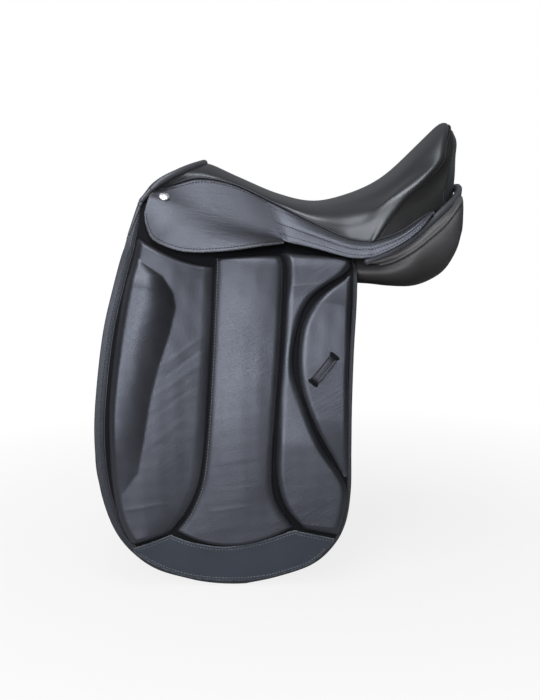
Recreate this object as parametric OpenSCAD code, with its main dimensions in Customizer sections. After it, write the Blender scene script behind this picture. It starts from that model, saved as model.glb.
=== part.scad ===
// Dressage saddle. +X runs to the cantle, -Y is the near (left) side, +Z is up.
// The origin lies on the centre plane, at the height of the panels' underside.

/* [Seat] */
// length along X from the pommel's front edge to the top of the cantle
seat_l = 356; // [330:2:380]
// height of the pommel's top
pommel_z = 178; // [174:1:186]
// height of the lowest point of the seat
seat_low_z = 122; // [118:1:128]
// height of the cantle's top
cantle_z = 232; // [222:1:242]
// thickness of the seat leather
cover_t = 3; // [2:0.25:3.5]
// thickness of the seat foam
foam_t = 12; // [9:0.5:13]
// radius of the roll along the front of the pommel
pommel_roll_r = 5; // [4:0.25:6]
// radius of the roll under the cantle
cantle_roll_r = 5.5; // [4:0.25:6]

/* [Skirt] */
// thickness of the skirt leather
skirt_t = 3.5; // [2.5:0.25:4]
// radius of the skirt stud's head
stud_r = 7.5; // [5:0.25:8.5]
// height of the stud's dome
stud_h = 3; // [2:0.25:4]

/* [Flap] */
// height of the flap's hinge line above the origin
hinge_z = 45; // [43:0.5:46]
// length of the flap below its hinge line
flap_drop = 438; // [415:2:460]
// thickness of the flap leather
flap_t = 3.5; // [2.5:0.25:3.75]
// spread of the flap's outer face at the hinge line, from the centre plane
flap_near = 140; // [139:0.5:143]
// spread that the flap's face nears at its lower end
flap_far = 222; // [210:1:235]
// height of the long knee pad
knee_pad_h = 9; // [6:0.5:11]
// extra height of the knee block
knee_block_h = 21; // [12:0.5:26]
// height of the centre pad
centre_pad_h = 5; // [3:0.5:8]
// height of the thigh pad
thigh_pad_h = 12; // [8:0.5:14]
// height of the half-moon block at the rear
rear_block_h = 9; // [6:0.5:12]
// thickness of the wear patch
patch_t = 1.6; // [1:0.2:2.4]

/* [Keeper] */
// length of the keeper loop
keeper_l = 48; // [42:1:54]
// width of the keeper loop
keeper_w = 12; // [10:0.5:14]
// leather thickness of the keeper
keeper_t = 2; // [1.5:0.25:2.5]
// free height under the keeper
keeper_gap = 5.5; // [4.5:0.5:7]

/* [Girthing] */
// width of a girth billet
billet_w = 25; // [20:1:28]
// thickness of a girth billet
billet_t = 3.5; // [2.5:0.25:4]
// length of a girth billet
billet_l = 372; // [330:2:380]
// diameter of a billet hole
hole_d = 5; // [4:0.25:6]
// distance between billet holes
hole_pitch = 25; // [20:1:28]
// distance along the flap between the two billets of a side
billet_pitch = 52; // [44:1:58]
// thickness of the sweat flap
sweat_t = 2.5; // [2:0.25:3]

/* [Stirrup bar] */
// length of the stirrup bar's rod
bar_l = 58; // [50:1:62]
// radius of the stirrup bar's rod
bar_r = 5; // [4.5:0.25:5]
// distance from the plate's middle out to the rod
bar_out = 45; // [42:0.5:46]
// length of the turning catch beyond its pin
catch_l = 22; // [16:0.5:24]
// radius of the catch's pin
pin_r = 1.5; // [1.25:0.05:1.6]

/* [Tree] */
// width of a tree rail
rail_w = 26; // [20:1:27]
// thickness of a tree rail
rail_t = 10; // [8:0.5:10.5]
// length of the head along X
head_l = 38; // [30:1:40]
// thickness of the head
head_t = 11; // [9:0.5:11]
// thickness of the steel gullet plate
plate_t = 3; // [2:0.25:3.5]

/* [Hidden] */
$fn = 48;
gap = 0.5;
hinge_pitch = 4.86;
flap_bend = 175;
flap_bow = 4;
bow_mid = -85;
pad_edge = 1;
billet_clear = 3.2;
facing_t = 2.5;
sweat_tuck = 0.8;

// heights of the layers over and under the flap's outer face
billet_top = -flap_t - billet_clear;
sweat_top = billet_top - billet_t - billet_clear;

// helpers for points and curves
function lerp(a, b, s) = a + (b - a) * s;
function unit(v) = v / norm(v);
function clamp(v, lo, hi) = min(max(v, lo), hi);
function total(v) = [for (x = v) 1] * v;
function smooth(x, lo, hi) =
    let (u = clamp((x - lo) / (hi - lo), 0, 1)) u * u * (3 - 2 * u);
function curve(p, t) =
    let (
        n = len(p) - 1,
        u = clamp(t, 0, 1) * n,
        i = min(floor(u), n - 1),
        f = u - i,
        b = p[i],
        c = p[i + 1],
        a = i > 0 ? p[i - 1] : 2 * b - c,
        d = i + 2 <= n ? p[i + 2] : 2 * c - b
    )
    0.5 * (2 * b + (c - a) * f + (2 * a - 5 * b + 4 * c - d) * f * f
        + (3 * b - a - 3 * c + d) * f * f * f);
// value of a table of [position, value] pairs, straight between its points
function table(p, x) =
    x <= p[0][0] ? p[0][1]
    : x >= p[len(p) - 1][0] ? p[len(p) - 1][1]
    : let (i = max([for (k = [0 : len(p) - 2]) if (p[k][0] <= x) k]))
        lerp(p[i][1], p[i + 1][1], (x - p[i][0]) / (p[i + 1][0] - p[i][0]));
function mirrored(v) = [v[0], -v[1], v[2]];
// positions from 0 to 1 that crowd towards both ends
function crowded(k, n) = 0.5 - 0.5 * cos(180 * k / n);

// surface normal of a point grid at one of its points
function grid_normal(g, i, j) =
    let (
        m = len(g) - 1,
        n = len(g[0]) - 1,
        u = g[min(i + 1, m)][j] - g[max(i - 1, 0)][j],
        v = g[i][min(j + 1, n)] - g[i][max(j - 1, 0)]
    )
    unit(cross(u, v));
// the grid moved by h along its normals
function raised(g, h) =
    [for (i = [0 : len(g) - 1]) [for (j = [0 : len(g[0]) - 1]) g[i][j] + h * grid_normal(g, i, j)]];

// turns a face list so that its faces point outwards
function volume_sign(p, f) = total([for (t = f) p[t[0]] * cross(p[t[1]], p[t[2]])]);
function outward(p, f) = volume_sign(p, f) < 0 ? f : [for (t = f) [t[0], t[2], t[1]]];

// closed sheet between two equal point grids
module slab(top, under) {
    m = len(top) - 1;
    n = len(top[0]) - 1;
    w = n + 1;
    k = (m + 1) * w;
    p = concat([for (r = top) for (q = r) q], [for (r = under) for (q = r) q]);
    rim = concat(
        [for (j = [0 : n]) j],
        [for (i = [1 : m]) i * w + n],
        [for (j = [n - 1 : -1 : 0]) m * w + j],
        [for (i = [m - 1 : -1 : 1]) i * w]
    );
    e = len(rim);
    f = concat(
        [for (i = [0 : m - 1]) for (j = [0 : n - 1]) [i * w + j, i * w + j + 1, (i + 1) * w + j + 1]],
        [for (i = [0 : m - 1]) for (j = [0 : n - 1]) [i * w + j, (i + 1) * w + j + 1, (i + 1) * w + j]],
        [for (i = [0 : m - 1]) for (j = [0 : n - 1])
            [k + i * w + j, k + (i + 1) * w + j + 1, k + i * w + j + 1]],
        [for (i = [0 : m - 1]) for (j = [0 : n - 1])
            [k + i * w + j, k + (i + 1) * w + j, k + (i + 1) * w + j + 1]],
        [for (q = [0 : e - 1]) [rim[(q + 1) % e], rim[q], k + rim[q]]],
        [for (q = [0 : e - 1]) [rim[(q + 1) % e], k + rim[q], k + rim[(q + 1) % e]]]
    );
    polyhedron(p, outward(p, f));
}

// closed body through equal rings of points
module loft(rings) {
    m = len(rings) - 1;
    n = len(rings[0]);
    a = total(rings[0]) / n;
    b = total(rings[m]) / n;
    k = (m + 1) * n;
    p = concat([for (r = rings) for (q = r) q], [a, b]);
    f = concat(
        [for (i = [0 : m - 1]) for (j = [0 : n - 1])
            [i * n + j, i * n + (j + 1) % n, (i + 1) * n + (j + 1) % n]],
        [for (i = [0 : m - 1]) for (j = [0 : n - 1]) [i * n + j, (i + 1) * n + (j + 1) % n, (i + 1) * n + j]],
        [for (j = [0 : n - 1]) [k, (j + 1) % n, j]],
        [for (j = [0 : n - 1]) [k + 1, m * n + j, m * n + (j + 1) % n]]
    );
    polyhedron(p, outward(p, f));
}

// rings of a profile carried along a path; the fourth number of a path point tilts the profile
function swept(path, profile) =
    [for (i = [0 : len(path) - 1])
        let (
            q = [path[i][0], path[i][1], path[i][2]],
            e = path[min(i + 1, len(path) - 1)] - path[max(i - 1, 0)],
            t = unit([e[0], e[1], e[2]]),
            s = unit(cross(t, [0, 0, 1])),
            u = cross(s, t),
            w = path[i][3]
        )
        [for (c = profile(i))
            q + s * (c[0] * cos(w) - c[1] * sin(w)) + u * (c[0] * sin(w) + c[1] * cos(w))]];
function round_profile(r, n) = [for (k = [0 : n - 1]) [r * cos(360 * k / n), r * sin(360 * k / n)]];
function flat_profile(w, h, z) =
    [[-w / 2, z - h / 2], [w / 2, z - h / 2], [w / 2, z + h / 2], [-w / 2, z + h / 2]];

// seam between seat and skirt, front to rear
seam = [
    [-223, -88, 141], [-193, -74, 149], [-154, -64, 158], [-105, -66, 149], [-48, -80, 123], [4, -100, 98],
    [46, -121, 80], [68, -126, 75], [80, -128, 74], [90, -128, 75], [124, -122, 86], [152, -112, 103],
    [172, -102, 114]
];
// what a longer or shorter seat moves: the rear end, from the panels up to the cantle
seat_ref = 356;
seat_more = seat_l - seat_ref;
function rear_shift(x) = seat_more * smooth(x, 150, 190);
rim_share = 9 / 12;
hinge_share = 4 / 12;
// centre line of the seat as shares of the seat's length and of its two rises
pommel_x = -151;
seat_share = [
    [0, 1], [0.011, 0.98], [0.045, 0.91], [0.146, 0.61], [0.298, 0.2], [0.444, 0], [0.58, 0.085],
    [0.721, 0.3], [0.875, 0.72], [1, 1]
];
seat_line = [for (k = [0 : 9])
    [
        pommel_x + seat_share[k][0] * seat_l,
        0,
        seat_low_z + seat_share[k][1] * (k < 6 ? pommel_z - seat_low_z : cantle_z - seat_low_z)
    ]];
// rim of the cantle from its top down to the seam
rim = [
    [205, 0, 232], [205, -16, 228], [201, -36, 218], [195, -56, 203], [188, -78, 181], [166, -98, 159],
    [138, -112, 136], [117, -121, 112], [105, -125, 96], [90, -128, 75]
];
function rim_point(f) =
    let (q = curve(rim, f)) q + [seat_more * (1 - f * f), 0, (cantle_z - 232) * (1 - f)];
// point of the seat: a runs from pommel to cantle, b from -1 on the left seam to 1 on the right one
function seat_section(a, f) =
    let (
        c = curve(seat_line, a),
        e = curve(seam, a * rim_share),
        w = pow(max(0, (a - 0.62) / 0.38), 1.5),
        p1 = [c[0], lerp(0.66, 0.34, w) * e[1], c[2]],
        p2 = [
            lerp(e[0], c[0], lerp(0.25, 0.43, w)),
            lerp(1.03, 0.92, w) * e[1],
            e[2] + lerp(0.62, 0.32, w) * (c[2] - e[2])
        ],
        g = 1 - f,
        q = g * g * g * c + 3 * g * g * f * p1 + 3 * g * f * f * p2 + f * f * f * e
    )
    q;
function seat_point(a, b) =
    let (
        w = smooth(a, 0.55, 1),
        f = abs(b),
        q = seat_section(a, f) + w * (rim_point(f) - seat_section(1, f))
    )
    b > 0 ? mirrored(q) : q;
function seat_grid(a0, a1, m, b0, b1, n) =
    [for (i = [0 : m]) [for (j = [0 : n]) seat_point(lerp(a0, a1, i / m), lerp(b0, b1, j / n))]];

// skirt: hinge line of the lobe, lower edge of the band behind it, edge of the lobe
skirt_front = [-226, -98, 135];
skirt_rear = [-27, -126, 73];
band_edge = [
    skirt_rear, [5, -136, 66], [48, -147, 55], [68, -149, 53], [80, -149, 54], [91, -148, 56],
    [125, -142, 72], [153, -130, 92], [171, -112, 111]
];
lobe_edge = [
    [-229, -112, 114], [-227, -122, 98], [-218, -136, 80], [-201, -146, 71], [-175, -153, 64],
    [-143, -156, 63], [-103, -153, 66], [-66, -145, 71], [-36, -131, 73]
];
function band_low(t) =
    t <= hinge_share ? lerp(skirt_front, skirt_rear, t / hinge_share)
    : curve(band_edge, (t - hinge_share) / (1 - hinge_share));
function band_point(t, s) =
    let (
        a = curve(seam, t),
        b = band_low(t),
        d = unit(b - a),
        lift = t <= hinge_share ? 0 : 2 * sin(180 * s)
    )
    lerp(a + 0.9 * d, b - (t <= hinge_share ? 0.65 : 0) * d, s) + [0, -0.7, 0.7] * lift;
function lobe_point(t, s) =
    let (
        h = lerp(skirt_front, skirt_rear, lerp(0.01, 0.95, t)),
        e = curve(lobe_edge, t),
        d = unit(e - h)
    )
    lerp(h + 0.65 * d, e, s) + [0, -0.75, 0.66] * (3.5 * sin(180 * s) * sin(180 * clamp(t, 0.05, 0.95)));

// side frame: x along the hinge line, d down from it, h out from the flap's outer face
function flap_out(d) = flap_far - (flap_far - flap_near) * exp(-d / flap_bend);
function flap_slope(d) = (flap_far - flap_near) / flap_bend * exp(-d / flap_bend);
function bow(x) = flap_bow * pow((x - bow_mid) / 165, 2);
function side_point(x, d, h) =
    let (o = flap_slope(d), q = sqrt(1 + o * o))
    [x, -(flap_out(d) - bow(x)) - h / q, -d + h * o / q];
module on_side() {
    translate([0, 0, hinge_z]) rotate([0, hinge_pitch, 0]) children();
}
// outlines in the side frame are pairs of facing edges, in shares of the flap's length
drop = flap_drop / 438;
flap_front = [
    [-257, 0], [-265, 50], [-273, 111], [-275.5, 184], [-274, 245], [-266, 300], [-252, 347], [-232, 385],
    [-205, 412], [-171, 430], [-118, 440]
];
flap_rear = [
    [66, 0], [68, 50], [69, 111], [72.5, 184], [77, 245], [81, 298], [78, 343], [64, 377], [37, 405],
    [-9, 425], [-52, 437]
];
knee_front = [
    [-238, 6], [-250, 69], [-254, 136], [-255, 202], [-250, 270], [-242, 324], [-230, 365], [-211, 393]
];
knee_rear = [
    [-131, 6], [-129, 69], [-127, 136], [-125, 202], [-124, 262], [-128, 306], [-142, 345], [-162, 374]
];
knee_block_edge = [
    [10, -244], [24, -222], [37, -198], [57, -182], [75, -177], [107, -182], [152, -193], [196, -200],
    [293, -208], [345, -238]
];
centre_front = [[-127, 6], [-122, 124], [-120, 230], [-121, 299], [-133, 342], [-151, 372]];
centre_rear = [[-35, 6], [-32, 117], [-31, 210], [-29, 280], [-20, 320], [6, 353]];
centre_sag = 24;
thigh_front = [
    [-30, 6], [-28, 50], [-26, 95], [-26, 145], [-26, 195], [-25, 245], [-21, 290], [-8, 325], [20, 352]
];
thigh_rear = [
    [53, 6], [4, 46], [-12, 95], [-12, 143], [9, 193], [36, 243], [69, 287], [74, 320], [66, 352]
];
block_front = [
    [51, 15], [26, 34], [7, 55], [-5, 81], [-8, 112], [-5, 145], [7, 182], [28, 222], [52, 256], [69, 280]
];
block_rear = [
    [57, 11], [59, 33], [60, 58], [61, 85], [63, 112], [64, 145], [67, 182], [70, 222], [73, 256], [75, 280]
];
patch_top = [
    [-212, 402], [-187, 391], [-158, 378], [-119, 390], [-70, 391], [-23, 382],
    [13, 360], [44, 364], [68, 367]
];
patch_low = [
    [-206, 407], [-182, 420], [-152, 430], [-118, 436], [-75, 437], [-30, 431], [5, 420], [38, 404], [68, 376]
];
sweat_front = [
    [-244, 6], [-260, 55], [-272, 120], [-275, 184], [-274, 245], [-269, 300], [-253, 343], [-224, 374],
    [-180, 396], [-120, 406]
];
sweat_rear = [
    [8, 6], [34, 55], [48, 120], [52, 184], [56, 245], [58, 300], [52, 336], [34, 366], [0, 388], [-50, 402]
];
function edge_point(p, t) = let (q = curve(p, t)) [q[0], q[1] * drop];

// pad on the flap: two facing edges, height as a function of the shares along and across
module pad(front, rear, rows, cols, height, sag) {
    top = [for (i = [0 : rows]) [for (j = [0 : cols])
        let (
            t = crowded(i, rows) * 0.5 + i / rows * 0.5,
            s = crowded(j, cols) * 0.6 + j / cols * 0.4,
            q = lerp(edge_point(front, t), edge_point(rear, t), s) + [0, sag * 4 * s * (1 - s) * t * t * t]
        )
        side_point(q[0], q[1], gap + height(s, t, q))]];
    under = [for (i = [0 : rows]) [for (j = [0 : cols])
        let (
            t = crowded(i, rows) * 0.5 + i / rows * 0.5,
            s = crowded(j, cols) * 0.6 + j / cols * 0.4,
            q = lerp(edge_point(front, t), edge_point(rear, t), s) + [0, sag * 4 * s * (1 - s) * t * t * t]
        )
        side_point(q[0], q[1], gap)]];
    on_side() slab(top, under);
}
// plump rise from an edge: 0 at both ends, 1 over the middle
function plump(s, p) = sqrt(max(0, 1 - pow(abs(2 * s - 1), p)));
function knee_height(s, t, q) =
    let (
        left = edge_point(knee_front, t)[0],
        right = table(knee_block_edge, q[1] / drop),
        u = clamp((q[0] - left) / max(right - left, 1), 0, 1),
        tall = smooth(q[1], 12, 60) * (1 - smooth(q[1], 230 * drop, 345 * drop)),
        block = sin(180 * pow(u, 0.6)) * tall
    )
    pad_edge + (knee_pad_h - pad_edge) * plump(s, 5) * plump(t, 9) + knee_block_h * block;

// sheet in the side frame between two facing edges
module side_sheet(front, rear, rows, cols, h1, h0) {
    q = [for (i = [0 : rows]) [for (j = [0 : cols])
        lerp(edge_point(front, i / rows), edge_point(rear, i / rows), j / cols)]];
    on_side() slab(
        [for (r = q) [for (c = r) side_point(c[0], c[1], h1)]],
        [for (r = q) [for (c = r) side_point(c[0], c[1], h0)]]
    );
}

// tree
rail_path = [
    [-126, -63, 112.4, -36], [-92, -63, 106, -36], [-54, -64, 98.8, -35], [0, -72, 88, -26],
    [50, -84, 81, -20],
    [100, -94, 84, -16], [143, -88, 96, -12], [172, -66, 115, -8], [186, -34, 128, -4], [190, 0, 132, 0]
];
rail_half = [for (k = [0 : 22]) let (q = curve(rail_path, k / 22)) q + [rear_shift(q[0]), 0, 0, 0]];
rail_full = concat(
    rail_half,
    [for (k = [21 : -1 : 0]) let (r = rail_half[k]) [r[0], -r[1], r[2], r[3]]]
);
head_side = [
    [-176, -121, 46, 0], [-175, -111, 72, 0], [-172, -96, 94, 0], [-164, -78, 112, 0], [-150, -54, 127, 0],
    [-136, -28, 134.5, 0], [-130, 0, 137.3, 0]
];
head_half = [for (k = [0 : 9]) curve(head_side, k / 9)];
head_full = concat(
    head_half,
    [for (k = [8 : -1 : 0]) let (r = head_half[k]) [r[0], -r[1], r[2], 0]]
);
module tree_head() {
    color("burlywood") loft(swept(head_full, function(i) flat_profile(head_l, head_t, 0)));
}
module tree_rails() {
    color("burlywood") loft(swept(rail_full, function(i) flat_profile(rail_w, rail_t, 0)));
}
module tree_cantle() {
    g = [for (i = [0 : 6]) [for (j = [0 : 8]) back_point(lerp(0.12, 0.86, i / 6), lerp(0.06, 0.94, j / 8))]];
    color("burlywood") slab(raised(g, cover_t + 0.6), raised(g, cover_t + 8.6));
}
module gullet_plate() {
    r = swept(head_full, function(i) flat_profile(head_l - 14, plate_t, -head_t / 2 - 0.9 - plate_t / 2));
    color("silver") loft([for (k = [5 : 13]) r[k]]);
}
module tree_spring() {
    p = [for (k = [1 : 15]) rail_half[k]];
    color("silver") loft(swept(p, function(i) flat_profile(16, 2, -rail_t / 2 - 0.8 - 1)));
}
module tree_spring_left() {
    tree_spring();
}
module tree_spring_right() {
    mirror([0, 1, 0]) tree_spring();
}

// stirrup bar: plate on the rail, arm in front, rod running to the rear
bar_x = -92;
bar_tilt = 36;
bar_pitch = 10.7;
bar_place = [bar_x, -63 - (rail_t / 2 + 0.8) * sin(bar_tilt), 106.1 + (rail_t / 2 + 0.8) * cos(bar_tilt)];
plate_l = 72;
rod_z = 9;
tongue_x = -plate_l / 2 + bar_l;
module on_bar() {
    translate(bar_place) rotate([0, bar_pitch, 0]) rotate([bar_tilt, 0, 0]) children();
}
module stirrup_bar() {
    color("silver") on_bar() difference() {
        union() {
            translate([-plate_l / 2, -11, 0]) cube([plate_l, 22, 3.5]);
            translate([-plate_l / 2, -bar_out + 15, 2.2]) cube([11, bar_out - 23, rod_z - 2.2]);
            translate([-plate_l / 2, -bar_out - bar_r, rod_z - 4]) cube([11, 24, 8]);
            translate([-plate_l / 2 + 5, -bar_out, rod_z]) rotate([0, 90, 0])
                cylinder(r = bar_r, h = bar_l - 12);
            translate([tongue_x - 8, -bar_out - 4.5, rod_z - 1.8]) cube([8, 9, 3.6]);
            translate([tongue_x, -bar_out, rod_z - 1.8]) cylinder(r = 4.5, h = 3.6);
        }
        translate([tongue_x, -bar_out, rod_z - 6]) cylinder(r = pin_r + 0.02, h = 12);
        for (x = [-18, 5, 28]) translate([x, 0, -1]) cylinder(r = 2.55, h = 6);
    }
}
module stirrup_bar_left() {
    stirrup_bar();
}
module stirrup_bar_right() {
    mirror([0, 1, 0]) stirrup_bar();
}
module bar_rivets() {
    color("silver") for (s = [0, 1]) mirror([0, s, 0]) on_bar()
        for (x = [-18, 5, 28]) translate([x, 0, 0]) {
            translate([0, 0, -6]) cylinder(r = 2.5, h = 9.8);
            translate([0, 0, 3.75]) cylinder(r1 = 4.5, r2 = 3, h = 1.5);
        }
}
module bar_catch() {
    color("silver") on_bar() translate([tongue_x, -bar_out, rod_z]) difference() {
        union() {
            for (z = [-4.7, 2.1]) translate([0, 0, z]) {
                cylinder(r = 4.5, h = 2.6);
                translate([0, -4.5, 0]) cube([8, 9, 2.6]);
            }
            translate([5.4, -4.5, -4.7]) cube([catch_l - 5.4 - 4.5, 9, 9.4]);
            translate([catch_l - 4.5, 0, -4.7]) cylinder(r = 4.5, h = 9.4);
        }
        translate([0, 0, -6]) cylinder(r = pin_r + 0.3, h = 12);
    }
}
module bar_catch_left() {
    bar_catch();
}
module bar_catch_right() {
    mirror([0, 1, 0]) bar_catch();
}
module catch_pin() {
    color("silver") on_bar() translate([tongue_x, -bar_out, rod_z]) {
        translate([0, 0, -4.9]) cylinder(r = pin_r, h = 10);
        translate([0, 0, 5.05]) cylinder(r = 2.8, h = 0.9);
        translate([0, 0, -5.9]) cylinder(r = 2.8, h = 0.9);
        translate([0, 0, -5.1]) cylinder(r = pin_r, h = 10.3);
    }
}
module catch_pin_left() {
    catch_pin();
}
module catch_pin_right() {
    mirror([0, 1, 0]) catch_pin();
}
module gullet_rivets() {
    color("silver") for (s = [0, 1]) mirror([0, s, 0]) for (k = [5, 7])
        let (q = head_half[k], e = head_half[k + 1] - head_half[k - 1], n = unit([0, e[2], -e[1]]))
        translate([q[0], q[1], q[2]])
            rotate([atan2(n[1], -n[2]), 0, 0])
                translate([0, 0, -head_t / 2 - plate_t - 2]) {
                    cylinder(r = 3, h = plate_t + 8);
                    translate([0, 0, 0]) cylinder(r1 = 4, r2 = 5, h = 1.5);
                }
}

// seat
foam_top = cover_t + 1.8;
foam_low = foam_top + foam_t;
// where the cover starts, clear of the pommel roll
function front_start(b, lo = 0, hi = 0.25, n = 9) =
    let (m = (lo + hi) / 2)
    n == 0 ? m
    : (seat_point(0, b) - seat_point(m, b)) * front_out(b) > pommel_roll_r + 1.8
        ? front_start(b, lo, m, n - 1)
        : front_start(b, m, hi, n - 1);
module seat_cover() {
    starts = [for (j = [0 : 18]) front_start(lerp(-1, 1, j / 18))];
    g = [for (i = [0 : 22]) [for (j = [0 : 18])
        seat_point(lerp(starts[j], 1, i / 22), lerp(-1, 1, j / 18))]];
    color("dimgray") slab(g, raised(g, -cover_t));
}
module seat_foam() {
    g = seat_grid(0.16, 0.92, 12, -0.5, 0.5, 8);
    color("khaki") slab(raised(g, -foam_top), raised(g, -foam_low));
}
module seat_webs() {
    for (s = [-1, 1]) {
        g = seat_grid(0.33, 0.9, 10, 0.1 * s, 0.34 * s, 2);
        color("tan") slab(raised(g, -s * (foam_low + 2.2)), raised(g, -s * (foam_low + 4)));
    }
}
// facing between the seat's rim and the thin seam at the back of the cantle
back_seam = [[184, -95, 129], [194, -80, 158], [201, -60, 186], [208, -36, 208], [207, -13, 225]];
function cantle_move(q) =
    q + [seat_more, 0, (cantle_z - 232) * clamp((q[2] - 130) / 100, 0, 1)];
function facing_point(v, s) =
    let (
        r = seat_point(1, -lerp(0.97, 0.07, v)),
        g = cantle_move(curve(back_seam, v)),
        d = unit(g - r)
    )
    lerp(r + min(12, 0.62 * norm(g - r)) * d, g - min(4, 0.2 * norm(g - r)) * d, s)
        + pow(1 - v, 2) * 4 * s * (1 - s) * [0, -5, -6];
function back_point(v, s) =
    let (
        g = cantle_move(curve(back_seam, v)),
        e = lerp(g + [0, 0.4, 0], mirrored(g) - [0, 0.4, 0], s)
    )
    e + [lerp(28, 3, pow(v, 0.8)) * 4 * s * (1 - s), 0, 0];
module cantle_facing() {
    g = [for (i = [0 : 10]) [for (j = [0 : 5]) facing_point(i / 10, j / 5)]];
    color("dimgray") slab(raised(g, -0.9), [for (i = [0 : 10]) [for (j = [0 : 5])
        g[i][j] + (cover_t * lerp(0.15, 1, j / 5) - 0.9) * grid_normal(g, i, j)]]);
}
module cantle_facing_left() {
    cantle_facing();
}
module cantle_facing_right() {
    mirror([0, 1, 0]) cantle_facing();
}
module cantle_back() {
    g = [for (i = [0 : 9]) [for (j = [0 : 10]) back_point(i / 9, j / 10)]];
    color("dimgray") slab(g, raised(g, cover_t));
}
// pommel roll: along the front of the seat and down to the corner of the flap's margin
// directions at the seat's front edge: forward out of the seat, and up
function front_along(b) = unit(seat_point(0, b - 0.01) - seat_point(0, b + 0.01));
function front_out(b) =
    let (
        e = front_along(b),
        d = unit(seat_point(0, b) - seat_point(0.02, b))
    )
    unit(d - (d * e) * e);
function front_up(b) = cross(front_out(b), front_along(b));
function pommel_point(b) = seat_point(0, b) - pommel_roll_r * 0.15 * front_up(b);
pommel_foot = [[-234.5, -100, 128], [-231.5, -97, 132.5], [-227.5, -92.5, 138], pommel_point(-0.98)];
pommel_half = concat(
    [for (k = [0 : 3]) curve(pommel_foot, k / 4)],
    [for (k = [0 : 10]) pommel_point(-0.98 + 0.098 * k)]
);
pommel_all = concat(pommel_half, [for (k = [13 : -1 : 0]) mirrored(pommel_half[k])]);
module pommel_roll() {
    p = [for (q = pommel_all) [q[0], q[1], q[2], 0]];
    color("dimgray") loft(swept(p, function(i)
        round_profile(pommel_roll_r * lerp(0.5, 1, smooth(p[i][2], 127, 157)), 10)));
}
// facing in front of the tree's head, from the seat's front edge down to the arch
module pommel_facing() {
    g = [for (k = [0 : 16]) let (
            b = -0.64 + 0.08 * k,
            p = seat_point(0, b) - front_out(b) - (1.15 * pommel_roll_r + 0.8) * front_up(b),
            q = curve(head_side, 1 - 0.6 * abs(b)),
            e = [q[0] - head_l / 2 - 4, (b > 0 ? -1 : 1) * q[1] * 0.95, q[2] - head_t / 2 - plate_t - 1]
        )
        [for (j = [0 : 4]) lerp(p, e, j / 4)]];
    color("dimgray") slab(g, raised(g, facing_t));
}
cantle_roll_half = [
    [76, -134, 47.5], [105, -132.5, 58.5], [125, -128.5, 68], [146, -121.5, 81], [166, -110.5, 97.5],
    [189, -90, 115], [210.5, -54, 131], [218, -22, 140], [220, 0, 142]
];
cantle_roll_path = [for (k = [0 : 15]) curve(cantle_roll_half, k / 15)];
module cantle_roll() {
    p = concat(cantle_roll_path, [for (k = [14 : -1 : 0]) mirrored(cantle_roll_path[k])]);
    color("dimgray") loft(swept([for (q = p) [q[0] + rear_shift(q[0]), q[1], q[2], 0]],
        function(i) round_profile(cantle_roll_r, 10)));
}

// skirt
module skirt_band() {
    g = [for (i = [0 : 32]) [for (j = [0 : 4]) band_point(lerp(0.03, 1, i / 32), j / 4)]];
    color("dimgray") slab(g, raised(g, -skirt_t));
}
module skirt_band_left() {
    skirt_band();
}
module skirt_band_right() {
    mirror([0, 1, 0]) skirt_band();
}
module skirt() {
    g = [for (i = [0 : 20]) [for (j = [0 : 5]) lobe_point(crowded(i, 20) * 0.5 + i / 40, j / 5)]];
    u = raised(g, -skirt_t);
    color("gray") slab(g, [for (i = [0 : 20]) [for (j = [0 : 5])
        u[i][j] + (j == 0 ? 1.8 : 0) * unit(g[i][1] - g[i][0])]]);
}
module skirt_left() {
    skirt();
}
module skirt_right() {
    mirror([0, 1, 0]) skirt();
}
stud_share = 0.045;
stud_place = band_point(stud_share, 0.62);
stud_up = unit(cross(band_point(stud_share, 0.9) - band_point(stud_share, 0.3),
    band_point(stud_share - 0.02, 0.6) - band_point(stud_share + 0.02, 0.6)));
module skirt_stud() {
    color("whitesmoke")
        translate(stud_place)
            rotate([0, acos(stud_up[2]), atan2(stud_up[1], stud_up[0])])
                rotate_extrude() {
                    translate([0, -7]) square([1.5, 8]);
                    difference() {
                        translate([0, 0.9]) scale([1, stud_h / stud_r]) circle(r = stud_r);
                        translate([-20, -20]) square([20, 40]);
                        translate([-20, -20 + 0.9]) square([40, 20]);
                    }
                }
}
module skirt_stud_left() {
    skirt_stud();
}
module skirt_stud_right() {
    mirror([0, 1, 0]) skirt_stud();
}

// flap
flap_top_edge = [
    [-236, -100.5, 122.5], [-226, -98, 123], [-195, -103, 118], [-172, -103, 113], [-152, -100, 107],
    [-122, -88, 95], [-85, -86, 90],
    [-40, -88, 83], [20, -98, 72], [56, -118, 56]
];
function side_world(q) =
    [
        q[0] * cos(hinge_pitch) + q[2] * sin(hinge_pitch),
        q[1],
        hinge_z - q[0] * sin(hinge_pitch) + q[2] * cos(hinge_pitch)
    ];
module flap_top() {
    g = [for (i = [0 : 20]) let (
            t = i / 20,
            a = side_world(side_point(lerp(-255.5, 60, t), -gap, 0)),
            b = curve(flap_top_edge, t) + [0, 0, hinge_z - 45]
        )
        [for (j = [0 : 4]) lerp(a, b, j / 4) + [0, -0.6, 0.8] * (-1.2 * sin(45 * j))]];
    color("slategray") slab(g, raised(g, flap_t));
}
module flap_top_left() {
    flap_top();
}
module flap_top_right() {
    mirror([0, 1, 0]) flap_top();
}
module flap() {
    side_sheet(flap_front, flap_rear, 24, 7, 0, -flap_t);
}
module flap_left() {
    color("slategray") flap();
}
module flap_right() {
    color("slategray") mirror([0, 1, 0]) flap();
}
module knee_pad() {
    pad(knee_front, knee_rear, 20, 11, function(s, t, q) knee_height(s, t, q), 0);
}
module knee_pad_left() {
    color("gray") knee_pad();
}
module knee_pad_right() {
    color("gray") mirror([0, 1, 0]) knee_pad();
}
module centre_pad() {
    pad(centre_front, centre_rear, 14, 7,
        function(s, t, q) pad_edge + (centre_pad_h - pad_edge) * plump(s, 4) * plump(t, 10), centre_sag);
}
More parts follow.
